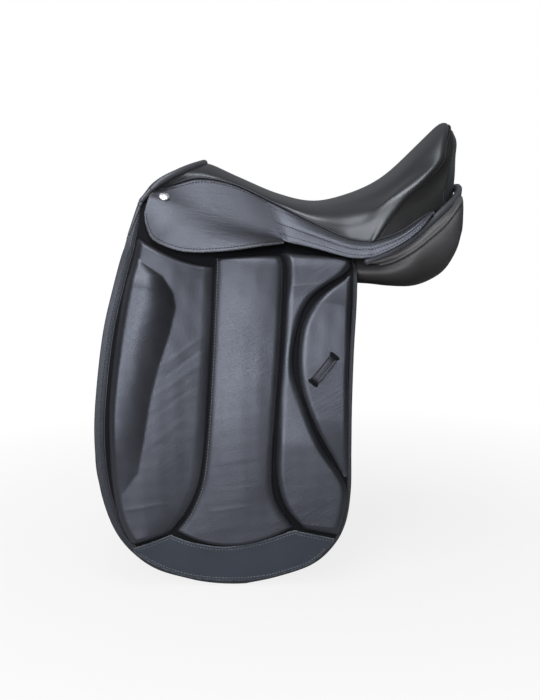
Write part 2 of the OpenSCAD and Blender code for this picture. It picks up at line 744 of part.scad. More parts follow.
module centre_pad_left() {
    color("gray") centre_pad();
}
module centre_pad_right() {
    color("gray") mirror([0, 1, 0]) centre_pad();
}
module thigh_pad() {
    pad(thigh_front, thigh_rear, 20, 7, function(s, t, q)
        let (w = edge_point(thigh_rear, t)[0] - edge_point(thigh_front, t)[0])
        pad_edge + (thigh_pad_h - pad_edge) * plump(s, 4) * plump(t, 8) * clamp(w / 60, 0.35, 1), 0);
}
module thigh_pad_left() {
    color("gray") thigh_pad();
}
module thigh_pad_right() {
    color("gray") mirror([0, 1, 0]) thigh_pad();
}
module rear_block() {
    pad(block_front, block_rear, 16, 7, function(s, t, q)
        let (w = edge_point(block_rear, t)[0] - edge_point(block_front, t)[0])
        pad_edge + (rear_block_h - pad_edge) * plump(s, 4) * clamp(w / 50, 0.1, 1), 0);
}
module rear_block_left() {
    color("gray") rear_block();
}
module rear_block_right() {
    color("gray") mirror([0, 1, 0]) rear_block();
}
module wear_patch() {
    side_sheet(patch_top, patch_low, 22, 3, gap + patch_t, gap);
}
module wear_patch_left() {
    color("dimgray") wear_patch();
}
module wear_patch_right() {
    color("dimgray") mirror([0, 1, 0]) wear_patch();
}

// keeper: a low bridge of leather across the half-moon block
keeper_x = 29;
keeper_d = 138;
keeper_turn = 55;
keeper_h = gap + rear_block_h + 0.7;
module keeper_place() {
    q = side_point(keeper_x, keeper_d * drop, 0);
    lean = atan(flap_slope(keeper_d * drop));
    on_side() translate(q) rotate([90 - lean, 0, 0]) rotate([0, 0, keeper_turn]) children();
}
module keeper() {
    keeper_place() translate([0, 0, keeper_h]) rotate([90, 0, 0]) translate([0, 0, -keeper_w / 2])
        linear_extrude(height = keeper_w)
            difference() {
                polygon([
                    [-keeper_l / 2, 0], [-keeper_l / 2, keeper_t], [-keeper_l / 2 + 7, keeper_t],
                    [-keeper_l / 2 + 11, keeper_gap + keeper_t], [keeper_l / 2 - 11, keeper_gap + keeper_t],
                    [keeper_l / 2 - 7, keeper_t], [keeper_l / 2, keeper_t], [keeper_l / 2, 0]
                ]);
                polygon([
                    [-keeper_l / 2 + 9, -1], [-keeper_l / 2 + 13, keeper_gap],
                    [keeper_l / 2 - 13, keeper_gap], [keeper_l / 2 - 9, -1]
                ]);
            }
}
module keeper_left() {
    color("dimgray") keeper();
}
module keeper_right() {
    color("dimgray") mirror([0, 1, 0]) keeper();
}

// girthing
billet_x = -82;
billet_start = 14;
hole_first = 212;
hole_count = 7;
billet_out = -(flap_bow * 0.12);
function billet_side(d, h) =
    let (o = flap_slope(d), q = sqrt(1 + o * o)) [-(flap_out(d) + billet_out) - h / q, -d + h * o / q];
// the billet hangs plumb, turned about the line of stitching at its head
module billet(x) {
    q = billet_side(billet_start, billet_top);
    on_side() translate([x, q[0], q[1]])
        rotate(a = hinge_pitch, v = [0, -1, flap_slope(billet_start)])
            translate([0, -q[0], -q[1]]) billet_strap();
}
module billet_strap() {
    d1 = billet_start + billet_l;
    n = 22;
    difference() {
        intersection() {
            rotate([90, 0, 90]) translate([0, 0, -billet_w / 2]) linear_extrude(height = billet_w)
                polygon(concat(
                    [for (k = [0 : n]) billet_side(lerp(billet_start, d1, k / n), billet_top)],
                    [for (k = [n : -1 : 0]) billet_side(lerp(billet_start, d1, k / n), billet_top - billet_t)]
                ));
            translate([0, 0, -d1 - 5]) rotate([90, 0, 0]) translate([0, 0, 60]) linear_extrude(height = 300)
                polygon([
                    [-billet_w / 2 - 1, d1 + 40], [billet_w / 2 + 1, d1 + 40], [billet_w / 2 + 1, 32],
                    [5, 6], [-5, 6], [-billet_w / 2 - 1, 32]
                ]);
        }
        for (k = [0 : hole_count - 1])
            let (d = hole_first + k * hole_pitch, q = billet_side(d, billet_top - billet_t / 2))
            translate([0, q[0], q[1]]) rotate([90 - atan(flap_slope(d)), 0, 0])
                cylinder(r = hole_d / 2, h = 20, center = true, $fn = 24);
    }
}
module billet_front_left() {
    color("black") billet(billet_x - billet_pitch / 2);
}
module billet_front_right() {
    color("black") mirror([0, 1, 0]) billet(billet_x - billet_pitch / 2);
}
module billet_rear_left() {
    color("black") billet(billet_x + billet_pitch / 2);
}
module billet_rear_right() {
    color("black") mirror([0, 1, 0]) billet(billet_x + billet_pitch / 2);
}
// web from the tree rail down to the heads of the billets
module billet_web() {
    x0 = billet_x - billet_pitch / 2 - billet_w / 2;
    x1 = billet_x + billet_pitch / 2 + billet_w / 2;
    g = [for (i = [0 : 6]) let (
            x = lerp(x0, x1, i / 6),
            low = side_world(side_point(x, billet_start - 2.6, billet_top - 0.8)),
            r = curve(rail_path, (1 + (x + 92) / 38) / 9),
            e = rail_w / 2 + 0.9,
            end = [r[0], r[1] - e * cos(r[3]), r[2] + e * sin(r[3])]
        )
        [for (j = [0 : 5]) lerp(end, low, j / 5) + [0, -1, 1] * sin(36 * j)]];
    color("tan") slab(g, raised(g, 2));
}
module billet_web_left() {
    billet_web();
}
module billet_web_right() {
    mirror([0, 1, 0]) billet_web();
}

// underside
panel_table = [
    // x, middle out, middle height, half width, half height, tilt
    [-214, 88, 66, 30, 9, 50], [-180, 86, 61, 38, 13, 46], [-120, 83, 57, 43, 17, 36],
    [-40, 82, 48, 44, 18.5, 27], [40, 84, 41, 44, 18, 20], [80, 86, 40, 49, 18, 18],
    [110, 87, 41.5, 55, 22.5, 17], [140, 87, 48, 56, 32, 16], [165, 81, 57, 51, 38, 14],
    [190, 73, 71, 44, 40, 11], [208, 66, 89, 36, 30, 8], [218, 61, 104, 20, 15, 5]
];
function bulge(v, p) = sign(v) * pow(abs(v), p);
// point of the panel: share along it, angle round its section, distance off its surface
function panel_point(t, angle, off) =
    let (
        c = curve(panel_table, t),
        u = (c[3] + off) * bulge(cos(angle), 0.72),
        v = (c[4] + off) * bulge(sin(angle), 0.72)
    )
    [
        c[0] + rear_shift(c[0]),
        -(c[1] + u * cos(c[5]) + v * sin(c[5])),
        c[2] - u * sin(c[5]) + v * cos(c[5])
    ];
module panel() {
    color("dimgray")
        loft([for (i = [0 : 20]) [for (k = [0 : 14]) panel_point(i / 20, 24 * k, 0)]]);
}
module panel_left() {
    panel();
}
module panel_right() {
    mirror([0, 1, 0]) panel();
}
piping_r = 2.4;
module panel_piping() {
    p = [for (k = [0 : 13]) concat(
        panel_point(lerp(0.5, 0.9, k / 13), lerp(42, 50, k / 13), piping_r + 0.7),
        0
    )];
    color("dimgray") loft(swept(p, function(i) round_profile(piping_r, 8)));
}
module panel_piping_left() {
    panel_piping();
}
module panel_piping_right() {
    mirror([0, 1, 0]) panel_piping();
}
module sweat_flap() {
    q = [for (i = [0 : 18]) [for (j = [0 : 5])
        lerp(edge_point(sweat_front, i / 18), edge_point(sweat_rear, i / 18), j / 5)]];
    function tuck(d) = sweat_top - sweat_tuck * (1 - smooth(d, 6, 60));
    on_side() slab(
        [for (r = q) [for (c = r) side_point(c[0], c[1], tuck(c[1]))]],
        [for (r = q) [for (c = r) side_point(c[0], c[1], tuck(c[1]) - sweat_t)]]
    );
}
module sweat_flap_left() {
    color("dimgray") sweat_flap();
}
module sweat_flap_right() {
    color("dimgray") mirror([0, 1, 0]) sweat_flap();
}

tree_head();
tree_rails();
tree_cantle();
gullet_plate();
gullet_rivets();
tree_spring_left();
tree_spring_right();
stirrup_bar_left();
stirrup_bar_right();
bar_rivets();
bar_catch_left();
bar_catch_right();
catch_pin_left();
catch_pin_right();
seat_webs();
seat_foam();
seat_cover();
cantle_facing_left();
cantle_facing_right();
cantle_back();
pommel_roll();
pommel_facing();
cantle_roll();
skirt_band_left();
skirt_band_right();
skirt_left();
skirt_right();
skirt_stud_left();
skirt_stud_right();
flap_top_left();
flap_top_right();
flap_left();
flap_right();
knee_pad_left();
knee_pad_right();
centre_pad_left();
centre_pad_right();
thigh_pad_left();
thigh_pad_right();
rear_block_left();
rear_block_right();
wear_patch_left();
wear_patch_right();
keeper_left();
keeper_right();
billet_web_left();
billet_web_right();
billet_front_left();
billet_front_right();
billet_rear_left();
billet_rear_right();
panel_left();
panel_right();
panel_piping_left();
panel_piping_right();
sweat_flap_left();
sweat_flap_right();
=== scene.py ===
import math

import bmesh
import bpy
import numpy as np
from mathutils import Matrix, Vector
from numpy import arange, array, clip, concatenate, cos, cross, exp, linspace, maximum, minimum, sin, sqrt, stack, where


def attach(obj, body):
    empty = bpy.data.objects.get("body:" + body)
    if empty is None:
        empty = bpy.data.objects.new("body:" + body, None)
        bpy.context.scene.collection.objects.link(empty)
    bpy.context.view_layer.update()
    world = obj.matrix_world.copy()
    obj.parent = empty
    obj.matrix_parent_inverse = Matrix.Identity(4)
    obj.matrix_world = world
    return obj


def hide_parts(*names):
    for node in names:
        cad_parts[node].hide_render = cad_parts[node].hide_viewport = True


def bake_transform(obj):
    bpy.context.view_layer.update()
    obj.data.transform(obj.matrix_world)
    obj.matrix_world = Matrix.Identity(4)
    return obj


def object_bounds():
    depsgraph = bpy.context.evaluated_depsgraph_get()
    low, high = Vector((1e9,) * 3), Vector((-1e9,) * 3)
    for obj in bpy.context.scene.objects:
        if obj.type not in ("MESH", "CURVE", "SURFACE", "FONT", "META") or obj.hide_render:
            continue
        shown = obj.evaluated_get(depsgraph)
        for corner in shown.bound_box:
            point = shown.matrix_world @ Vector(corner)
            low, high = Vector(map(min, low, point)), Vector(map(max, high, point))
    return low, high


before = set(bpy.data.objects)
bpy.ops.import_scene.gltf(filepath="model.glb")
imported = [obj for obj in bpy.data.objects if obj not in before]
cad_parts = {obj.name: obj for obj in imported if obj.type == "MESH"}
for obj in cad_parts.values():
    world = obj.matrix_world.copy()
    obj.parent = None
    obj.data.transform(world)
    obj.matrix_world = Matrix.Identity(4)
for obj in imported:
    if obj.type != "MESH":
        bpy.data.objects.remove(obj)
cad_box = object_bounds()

# Sizes are in millimetres here and become metres when a mesh is made.
MM = 0.001
NO_EDGE = 99.0      # a distance that counts as far from every edge
OUT, UP, UP_AND_OUT, FORWARD, BACK = (0, -1, 0), (0, 0, 1), (0, -1, 1), (-1, 0, 0), (1, 0, 0)


# points and curves

def lerp(a, b, s):
    return a + (b - a) * s


def smooth(x, lo, hi):
    u = clip((x - lo) / (hi - lo), 0, 1)
    return u * u * (3 - 2 * u)


def norm(v):
    return np.linalg.norm(v, axis=-1)


def unit(v):
    return v / maximum(norm(v)[..., None], 1e-9)


def arrays(*values):
    """Float arrays of one common shape."""
    return np.broadcast_arrays(*(np.asarray(v, float) for v in values))


def lattice(rows, cols):
    return np.meshgrid(rows, cols, indexing="ij")


def even(n):
    return linspace(0, 1, n)


def circle(n):
    return 2 * math.pi * arange(n) / n


def curve(points, t):
    """Smooth curve through points, t from 0 to 1."""
    p = np.asarray(points, float)
    t = np.asarray(t, float)
    n = len(p) - 1
    u = clip(t, 0, 1) * n
    i = minimum(u.astype(int), n - 1)
    f = (u - i)[..., None]
    b, c = p[i], p[i + 1]
    a = where((i > 0)[..., None], p[maximum(i - 1, 0)], 2 * b - c)
    d = where((i + 2 <= n)[..., None], p[minimum(i + 2, n)], 2 * c - b)
    return 0.5 * (2 * b + (c - a) * f + (2 * a - 5 * b + 4 * c - d) * f ** 2
        + (3 * b - a - 3 * c + d) * f ** 3)


def crowded(n, share=0.5):
    """n + 1 positions from 0 to 1 that crowd towards both ends."""
    k = arange(n + 1) / n
    return (0.5 - 0.5 * cos(math.pi * k)) * share + k * (1 - share)


def spread(n, *ends):
    """n even shares from 0 to 1, with extra ones close to both ends for a rounded edge."""
    values = even(n)
    inner = values[(values > ends[-1] * 1.3) & (values < 1 - ends[-1] * 1.3)]
    return concatenate([[0], ends, inner, 1 - array(ends[::-1]), [1]])


def grid_normals(g):
    return unit(cross(np.gradient(g, axis=0), np.gradient(g, axis=1)))


def facing(g, way, axis=0):
    """The grid, turned over along an axis if its normals point against way."""
    return g if grid_normals(g).mean(axis=(0, 1)) @ array(way) > 0 else np.flip(g, axis)


def softened(g, times):
    """The grid with its columns evened out, all but the first and the last."""
    g = g.copy()
    for _ in range(times):
        g[:, 1:-1] = 0.25 * g[:, :-2] + 0.5 * g[:, 1:-1] + 0.25 * g[:, 2:]
    return g


def arc(v, power=2, least=0):
    """Arch over v from -1 to 1, flatter and steeper with a higher power."""
    return sqrt(maximum(least, 1 - abs(v) ** power))


def rounded(u):
    """Quarter circle: 0 at u = 0, steep at first, 1 from u = 1 on."""
    return arc(1 - clip(u, 0, 1))


def crown(s, width, first, last):
    """Rounded rise from both edges of a pad: over first mm at one and last mm at the other."""
    return rounded(s * width / first) * rounded((1 - s) * width / last)


def soft_noise(p, size, seed):
    """Smooth noise of about -1 to 1 at points p, with features of the given size."""
    rng = np.random.default_rng(seed)
    total = 0
    for _ in range(7):
        d = unit(rng.normal(size=3))
        total = total + sin(p @ d * (2 * math.pi / (size * rng.uniform(0.7, 1.5))) + rng.uniform(0, 6.28))
    return total / 3.5


# meshes

def link(obj):
    bpy.context.scene.collection.objects.link(obj)
    return obj


def make(name, verts, faces, material, side=None, rim=None):
    """Mesh object from points in millimetres. Its name ends in its side; the right one is the left one mirrored."""
    name = name + "_" + side if side else name
    v = array(verts, float).reshape(-1, 3) * MM
    if side == "right":
        v[:, 1] *= -1
        faces = [f[::-1] for f in faces]
    mesh = bpy.data.meshes.new(name)
    mesh.from_pydata(v.tolist(), [], faces)
    mesh.shade_smooth()
    if rim is not None:
        layer = mesh.attributes.new("rim", "FLOAT", "POINT")
        layer.data.foreach_set("value", np.asarray(rim, np.float32).ravel())
    mesh.materials.append(material)
    return link(bpy.data.objects.new(name, mesh))


def outward(obj):
    """Turns the faces of a closed mesh outwards."""
    bm = bmesh.new()
    bm.from_mesh(obj.data)
    bmesh.ops.recalc_face_normals(bm, faces=bm.faces[:])
    bm.to_mesh(obj.data)
    bm.free()
    obj.data.shade_smooth()
    return obj


def edge_distance(g, joined=()):
    """Distance of each grid point from the nearest edge of the grid, along its lines.
    The first or last row counts as no edge if it is named in joined."""
    def along(axis):
        d = norm(np.diff(g, axis=axis))
        zero = np.zeros_like(np.take(d, [0], axis=axis))
        near = concatenate([zero, np.cumsum(d, axis=axis)], axis=axis)
        far = np.take(near, [-1], axis=axis) - near
        if axis == 0 and "first" in joined:
            near = near + NO_EDGE
        if axis == 0 and "last" in joined:
            far = far + NO_EDGE
        return minimum(near, far)
    return minimum(along(0), along(1))


def shell(name, upper, lower, material, side, rim=None):
    """Closed mesh from two grids of points and a wall between their edges."""
    m, n = upper.shape[:2]
    k = m * n
    index = arange(k).reshape(m, n)
    a, b, c, d = (x.ravel() for x in (index[:-1, :-1], index[:-1, 1:], index[1:, 1:], index[1:, :-1]))
    faces = stack([a, b, c, d], 1).tolist() + stack([d + k, c + k, b + k, a + k], 1).tolist()
    loop = concatenate([index[0, :-1], index[:-1, -1], index[-1, :0:-1], index[:0:-1, 0]])
    after = np.roll(loop, -1)
    faces += stack([after, loop, loop + k, after + k], 1).tolist()
    verts = concatenate([upper.reshape(-1, 3), lower.reshape(-1, 3)])
    return outward(make(name, verts, faces, material, side, rim))


def sheet(name, top, thick, material, side=None, edge=1.1, wear=5.0, joined=()):
    """Closed sheet of leather under its outer face top, rounded by edge mm, with its paler edge band, part wear and
    part painted highlight, over wear mm.
    """
    normal = grid_normals(top)
    dist = edge_distance(top, joined)
    drop = minimum(edge * (1 - rounded(dist / edge))[..., None], 0.45 * thick)
    edge_wear_and_highlight = clip(1 - dist / wear, 0, 1).ravel()
    return shell(name, top - normal * drop, top - normal * (thick - drop), material, side,
        concatenate([edge_wear_and_highlight, edge_wear_and_highlight]))


def ring_solid(name, rings, material, side=None, ends=None):
    """Closed mesh through rings of points, with one point at each end."""
    m, n = rings.shape[:2]
    index = arange(m * n).reshape(m, n)
    nxt = np.roll(index, -1, axis=1)
    faces = stack([index[:-1], nxt[:-1], nxt[1:], index[1:]], -1).reshape(-1, 4).tolist()
    faces += [[m * n, nxt[0, j], index[0, j]] for j in range(n)]
    faces += [[m * n + 1, index[-1, j], nxt[-1, j]] for j in range(n)]
    ends = rings[[0, -1]].mean(axis=1) if ends is None else ends
    return outward(make(name, concatenate([rings.reshape(-1, 3), ends]), faces, material, side))


def tube(name, path, radius, material, side=None, sides=14):
    """Closed round bar along a path; radius is a number or one for each point."""
    r = np.broadcast_to(np.asarray(radius, float), len(path))[:, None]
    t = unit(np.gradient(path, axis=0))
    ref = where(abs(t[:, 2:3]) > 0.9, [[1.0, 0, 0]], [[0, 0, 1.0]])
    s = unit(cross(t, ref))
    u = cross(s, t)
    w = circle(sides)[:, None]
    rings = path[:, None] + r[:, None] * (s[:, None] * cos(w) + u[:, None] * sin(w))
    ends = path[[0, -1]] + array([[-0.5], [0.5]]) * (t * r)[[0, -1]]
    return ring_solid(name, rings, material, side, ends)


def stitches(name, rows, material, side, length=3.0, pitch=4.3, radius=0.6):
    """Rows of thread stitches; a row is points on the leather and the leather's normals there."""
    n = 6       # rings in a stitch, and points in a ring
    along = (array([-1, -0.72, -0.3, 0.3, 0.72, 1]) * length / 2)[:, None, None]
    size = (array([0.45, 0.85, 1, 1, 0.85, 0.45]) * radius)[:, None, None]
    sink = array([-0.35, 0.0, 0.12, 0.12, 0.0, -0.35])[:, None, None]
    w = circle(n)[:, None]
    verts = []
    for points, normals in rows:
        step = concatenate([[0], np.cumsum(norm(np.diff(points, axis=0)))])
        count = int(step[-1] // pitch)
        at = (arange(count) + 0.5) * step[-1] / count

        def along_row(values, place):
            return stack([np.interp(place, step, values[:, k]) for k in range(3)], 1)
        up = unit(along_row(normals, at))
        t = unit(along_row(points, at + 0.5) - along_row(points, at - 0.5))
        p, t, s, up = (v[:, None, None] for v in (along_row(points, at), t, unit(cross(t, up)), up))
        ring = p + t * along + s * (size * cos(w)) + up * (sink + size * sin(w))
        verts.append(ring.reshape(-1, 3))
    verts = concatenate(verts)
    one = [[n * i + j, n * i + (j + 1) % n, n * i + n + (j + 1) % n, n * i + n + j]
        for i in range(n - 1) for j in range(n)]
    one += [list(range(n)), list(range(n * n - 1, n * n - n - 1, -1))]
    faces = [[base + v for v in face] for base in range(0, len(verts), n * n) for face in one]
    return outward(make(name, verts, faces, material, side))


# materials

class Tree:
    """A node tree, with short ways to add nodes and to join them."""

    def __init__(self, owner):
        owner.use_nodes = True
        self.nodes, self.links = owner.node_tree.nodes, owner.node_tree.links

    def put(self, socket, value):
        """Joins an output to a socket, or gives the socket a value."""
        if isinstance(value, bpy.types.NodeSocket):
            self.links.new(value, socket)
        else:
            socket.default_value = value

    def add(self, kind, inputs=None, **settings):
        node = self.nodes.new("ShaderNode" + kind)
        for key, value in settings.items():
            setattr(node, key, value)
        for key, value in (inputs or {}).items():
            self.put(node.inputs[key], value)
        return node

    def noise(self, vector, scale, detail=3.0, rough=0.55):
        inputs = {"Vector": vector, "Scale": scale, "Detail": detail, "Roughness": rough}
        return self.add("TexNoise", inputs).outputs["Fac"]

    def mapping(self, vector, scale, turn=(0, 0, 0), kind="POINT"):
        inputs = {"Vector": vector, "Scale": scale, "Rotation": turn}
        return self.add("Mapping", inputs, vector_type=kind).outputs["Vector"]

    def ranged(self, value, lo, hi, out_lo, out_hi):
        return self.add("MapRange", {0: value, 1: lo, 2: hi, 3: out_lo, 4: out_hi}).outputs[0]

    def maths(self, operation, a, b=0.0):
        return self.add("Math", {0: a, 1: b}, operation=operation).outputs[0]

    def mixed(self, fac, a, b):
        a, b = ((*v, 1) if isinstance(v, tuple) else v for v in (a, b))
        return self.add("Mix", {0: fac, 6: a, 7: b}, data_type="RGBA").outputs[2]

    def bump(self, height, strength, distance, normal=None, invert=False):
        inputs = {"Height": height, "Strength": strength, "Distance": distance}
        if normal is not None:
            inputs["Normal"] = normal
        return self.add("Bump", inputs, invert=invert).outputs["Normal"]

    def split(self, vector, axis):
        return self.add("SeparateXYZ", {0: vector}).outputs[axis]


def painted(name):
    """New material, its node tree and object coordinates, and a way to feed its shader."""
    material = bpy.data.materials.new(name)
    tree = Tree(material)
    shader = tree.nodes["Principled BSDF"]

    def feed(**values):
        for key, value in values.items():
            tree.put(shader.inputs[key.replace("_", " ")], value)
    return material, tree, tree.add("TexCoord").outputs["Object"], feed


def leather(name, dark, light, rough=0.42, grain=0.25, crease=0.1, slant=0.0, size=(0.06, 0.005),
            edge=(0.07, 0.074, 0.08), gloss=0.9, tint=(0.75, 0.81, 1.0), upper=None):
    """Grained leather: colour drift, pores, creases that run at an angle, paler edges that are part wear and part
    painted highlight.
    upper is another colour for what lies high up."""
    material, tree, coord, feed = painted(name)
    drift = tree.noise(coord, 9, 4)
    fine = tree.noise(coord, 420, 3, 0.6)
    pores = tree.add("TexVoronoi", {"Vector": coord, "Scale": 760.0}, feature="SMOOTH_F1").outputs["Distance"]
    turned = tree.mapping(coord, (size[0], size[0], size[1]), (0, -slant, 0), "TEXTURE")
    lines = tree.maths("SUBTRACT", tree.noise(turned, 1.0, 2.5, 0.55), 0.5)
    lines = tree.ranged(tree.maths("ABSOLUTE", lines), 0.0, 0.12, 1, 0)
    patches = tree.ranged(tree.noise(coord, 12, 2), 0.42, 0.64, 0, 1)
    creases = tree.maths("MULTIPLY", lines, patches)
    rim = tree.add("Attribute", attribute_name="rim").outputs["Fac"]
    edge_wear_and_highlight = tree.maths("MULTIPLY", rim, tree.ranged(fine, 0.35, 0.7, 0.3, 0.95))
    colour = tree.mixed(tree.ranged(drift, 0.35, 0.65, 0, 1), dark, light)
    if upper:
        colour = tree.mixed(tree.ranged(tree.split(coord, "Z"), 0.02, 0.075, 0, 1), colour, upper)
    # crease lines painted darker: painted shade in the folds
    colour = tree.mixed(tree.maths("MULTIPLY", creases, min(1.0, 4 * crease)), colour, tuple(0.5 * c for c in dark))
    # paler edges: part wear, part painted highlight on the rounded edge
    colour = tree.mixed(tree.maths("MULTIPLY", edge_wear_and_highlight, edge_wear_and_highlight), colour, edge)
    shine = tree.maths("ADD", tree.ranged(drift, 0.3, 0.7, rough - 0.05, rough + 0.06),
        tree.ranged(fine, 0.3, 0.7, -0.04, 0.05))
    normal = tree.bump(pores, grain, 0.00025)
    normal = tree.bump(fine, grain * 0.7, 0.0005, normal)
    normal = tree.bump(creases, crease, 0.0006, normal, invert=True)
    feed(Base_Color=colour, Roughness=shine, Normal=normal, Specular_IOR_Level=gloss, Specular_Tint=(*tint, 1))
    return material


def metal(name, colour, rough, brushed):
    """Plated or brushed steel with fine scratches and drift in its shine."""
    material, tree, coord, feed = painted(name)
    lines = tree.noise(tree.mapping(coord, (60, 60, 900) if brushed else (300, 300, 300)), 1.0, 3)
    feed(Base_Color=tree.mixed(tree.noise(coord, 60, 3), colour, tuple(0.82 * c for c in colour)),
        Roughness=tree.ranged(lines, 0.3, 0.7, rough * 0.75, rough * 1.35),
        Normal=tree.bump(lines, 0.12 if brushed else 0.04, 0.0001), Metallic=1.0)
    return material


def fibre(name, dark, light, scale, rough, bump, stretch=(1, 1, 1)):
    """Wood, foam or thread: streaks or cells along one direction."""
    material, tree, coord, feed = painted(name)
    lines = tree.noise(tree.mapping(coord, stretch), scale, 4, 0.6)
    feed(Base_Color=tree.mixed(tree.ranged(lines, 0.3, 0.7, 0, 1), dark, light),
        Roughness=tree.ranged(lines, 0.3, 0.7, rough - 0.08, rough + 0.1),
        Normal=tree.bump(lines, bump, 0.0004))
    return material


def weave(name, dark, light, scale):
    """Woven webbing: two crossing waves."""
    material, tree, coord, feed = painted(name)
    waves = [tree.add("TexWave", {"Vector": coord, "Scale": scale, "Distortion": 0.6}, bands_direction=axis)
        for axis in ("X", "Y")]
    cloth = tree.maths("MULTIPLY", *(node.outputs["Fac"] for node in waves))
    feed(Base_Color=tree.mixed(cloth, dark, light), Roughness=tree.ranged(cloth, 0, 1, 0.9, 0.7),
        Normal=tree.bump(cloth, 0.6, 0.0004))
    return material


black = leather("black_leather", (0.009, 0.0093, 0.0103), (0.014, 0.0145, 0.016), slant=0.3, gloss=0.45)
roll_hide = leather("roll_leather", (0.034, 0.035, 0.038), (0.046, 0.047, 0.051), rough=0.46, gloss=0.95)
# the skirt's pale edge colour is partly a painted highlight along its rounded edge
skirt_hide = leather("skirt_leather", (0.010, 0.0103, 0.0115), (0.016, 0.0165, 0.0185), crease=0.16, slant=-0.14,
    size=(0.05, 0.005), edge=(0.22, 0.226, 0.245))
pad_hide = leather("pad_leather", (0.007, 0.0072, 0.008), (0.011, 0.0114, 0.013), slant=0.52, size=(0.09, 0.008))
seat_hide = leather("seat_leather", (0.009, 0.009, 0.0095), (0.014, 0.014, 0.015), rough=0.40, grain=0.2, crease=0.03,
    tint=(0.86, 0.92, 1.0))
facing_hide = leather("facing_leather", (0.008, 0.008, 0.0082), (0.012, 0.012, 0.012), rough=0.55, grain=0.2,
    crease=0.03, gloss=0.5, tint=(0.96, 0.97, 1.0))
# near black low down and paler from 20 to 75 mm up: painted shade on the panel's underside, painted light on its top
panel_hide = leather("panel_leather", (0.004, 0.0035, 0.0035), (0.007, 0.006, 0.006), grain=0.2, crease=0.04,
    gloss=0.32, tint=(0.96, 0.96, 1.0), upper=(0.075, 0.075, 0.078))
# the patch's pale edge colour is partly a painted highlight along its rounded edge
patch_hide = leather("patch_leather", (0.012, 0.016, 0.022), (0.020, 0.026, 0.035), rough=0.5, crease=0.04,
    edge=(0.30, 0.32, 0.34), gloss=0.5)
strap_hide = leather("billet_leather", (0.016, 0.014, 0.013), (0.030, 0.026, 0.023), rough=0.48, grain=0.4,
    tint=(0.96, 0.97, 1.0))
# near-black matt leather: painted shade in the grooves between the pads, in the recess under the skirt and on the pads'
# top rows
painted_shade_hide = leather("painted_shade_leather", (0.004, 0.004, 0.0044), (0.0065, 0.0065, 0.007), rough=0.75, grain=0.3,
    crease=0.03, gloss=0.12)
# dim leather: painted shadow of the skirt on the pads' top rows
shade_hide = leather("shaded_leather", (0.006, 0.006, 0.007), (0.009, 0.0092, 0.0104), rough=0.55, crease=0.05,
    gloss=0.4)
# near-black leather for the keeper's slits: painted shade in the openings
slit_shade_hide = leather("slit_shade_leather", (0.003, 0.003, 0.003), (0.005, 0.005, 0.005), rough=0.7, grain=0.2, crease=0.02,
    edge=(0.01, 0.01, 0.01), gloss=0.1)
thread = fibre("thread", (0.006, 0.006, 0.007), (0.018, 0.018, 0.020), 900, 0.7, 0.6)
# paler copy of the thread: painted highlight on stitches that catch the light
painted_lit_thread = fibre("painted_lit_thread", (0.07, 0.074, 0.082), (0.15, 0.157, 0.17), 900, 0.6, 0.6)
wood = fibre("tree_laminate", (0.36, 0.23, 0.12), (0.62, 0.46, 0.29), 1.0, 0.5, 0.2, (18, 160, 160))
foam = fibre("foam", (0.62, 0.55, 0.36), (0.85, 0.79, 0.58), 500, 0.9, 0.7)
webbing = weave("webbing", (0.30, 0.26, 0.19), (0.66, 0.60, 0.48), 130)
steel = metal("steel", (0.58, 0.58, 0.59), 0.30, True)
chrome = metal("chrome", (0.90, 0.91, 0.92), 0.34, False)


# the saddle's surfaces, left side

SEAM = [(-223, -88, 141), (-193, -74, 149), (-154, -64, 158), (-105, -66, 149), (-48, -80, 123), (4, -100, 98),
    (46, -121, 80), (68, -126, 75), (80, -128, 74), (90, -128, 75), (124, -122, 86), (152, -112, 103),
    (172, -102, 114)]
RIM_SHARE, HINGE = 9 / 12, 4 / 12     # shares of the seam where the seat's rim and the skirt's hinge end
SEAT_SHARE = [(0, 1), (0.011, 0.98), (0.045, 0.91), (0.146, 0.61), (0.298, 0.2), (0.444, 0), (0.58, 0.085),
    (0.721, 0.3), (0.875, 0.72), (1, 1)]
SEAT_LINE = [(-151 + a * 356, 0, 122 + z * (56 if k < 6 else 110)) for k, (a, z) in enumerate(SEAT_SHARE)]
RIM = [(205, 0, 232), (205, -16, 228), (201, -36, 218), (195, -56, 203), (188, -78, 181), (166, -98, 159),
    (138, -112, 136), (117, -121, 112), (105, -125, 96), (90, -128, 75)]


def mirrored(p):
    return p * array([1, -1, 1])


def seat_section(a, f):
    c = curve(SEAT_LINE, a)
    e = curve(SEAM, a * RIM_SHARE)
    w = maximum(0, (a - 0.62) / 0.38) ** 1.5
    p1 = stack([c[..., 0], lerp(0.66, 0.34, w) * e[..., 1], c[..., 2]], -1)
    p2 = stack([lerp(e[..., 0], c[..., 0], lerp(0.25, 0.43, w)), lerp(1.03, 0.92, w) * e[..., 1],
        e[..., 2] + lerp(0.62, 0.32, w) * (c[..., 2] - e[..., 2])], -1)
    f = f[..., None]
    g = 1 - f
    return g ** 3 * c + 3 * g * g * f * p1 + 3 * g * f * f * p2 + f ** 3 * e


def seat_point(a, b):
    """Point on the seat: share a from pommel to cantle, b from -1 on the left to 1 on the right."""
    a, b = arrays(a, b)
    f = abs(b)
    q = seat_section(a, f) + smooth(a, 0.55, 1)[..., None] * (curve(RIM, f) - seat_section(np.ones_like(a), f))
    return where((b > 0)[..., None], mirrored(q), q)


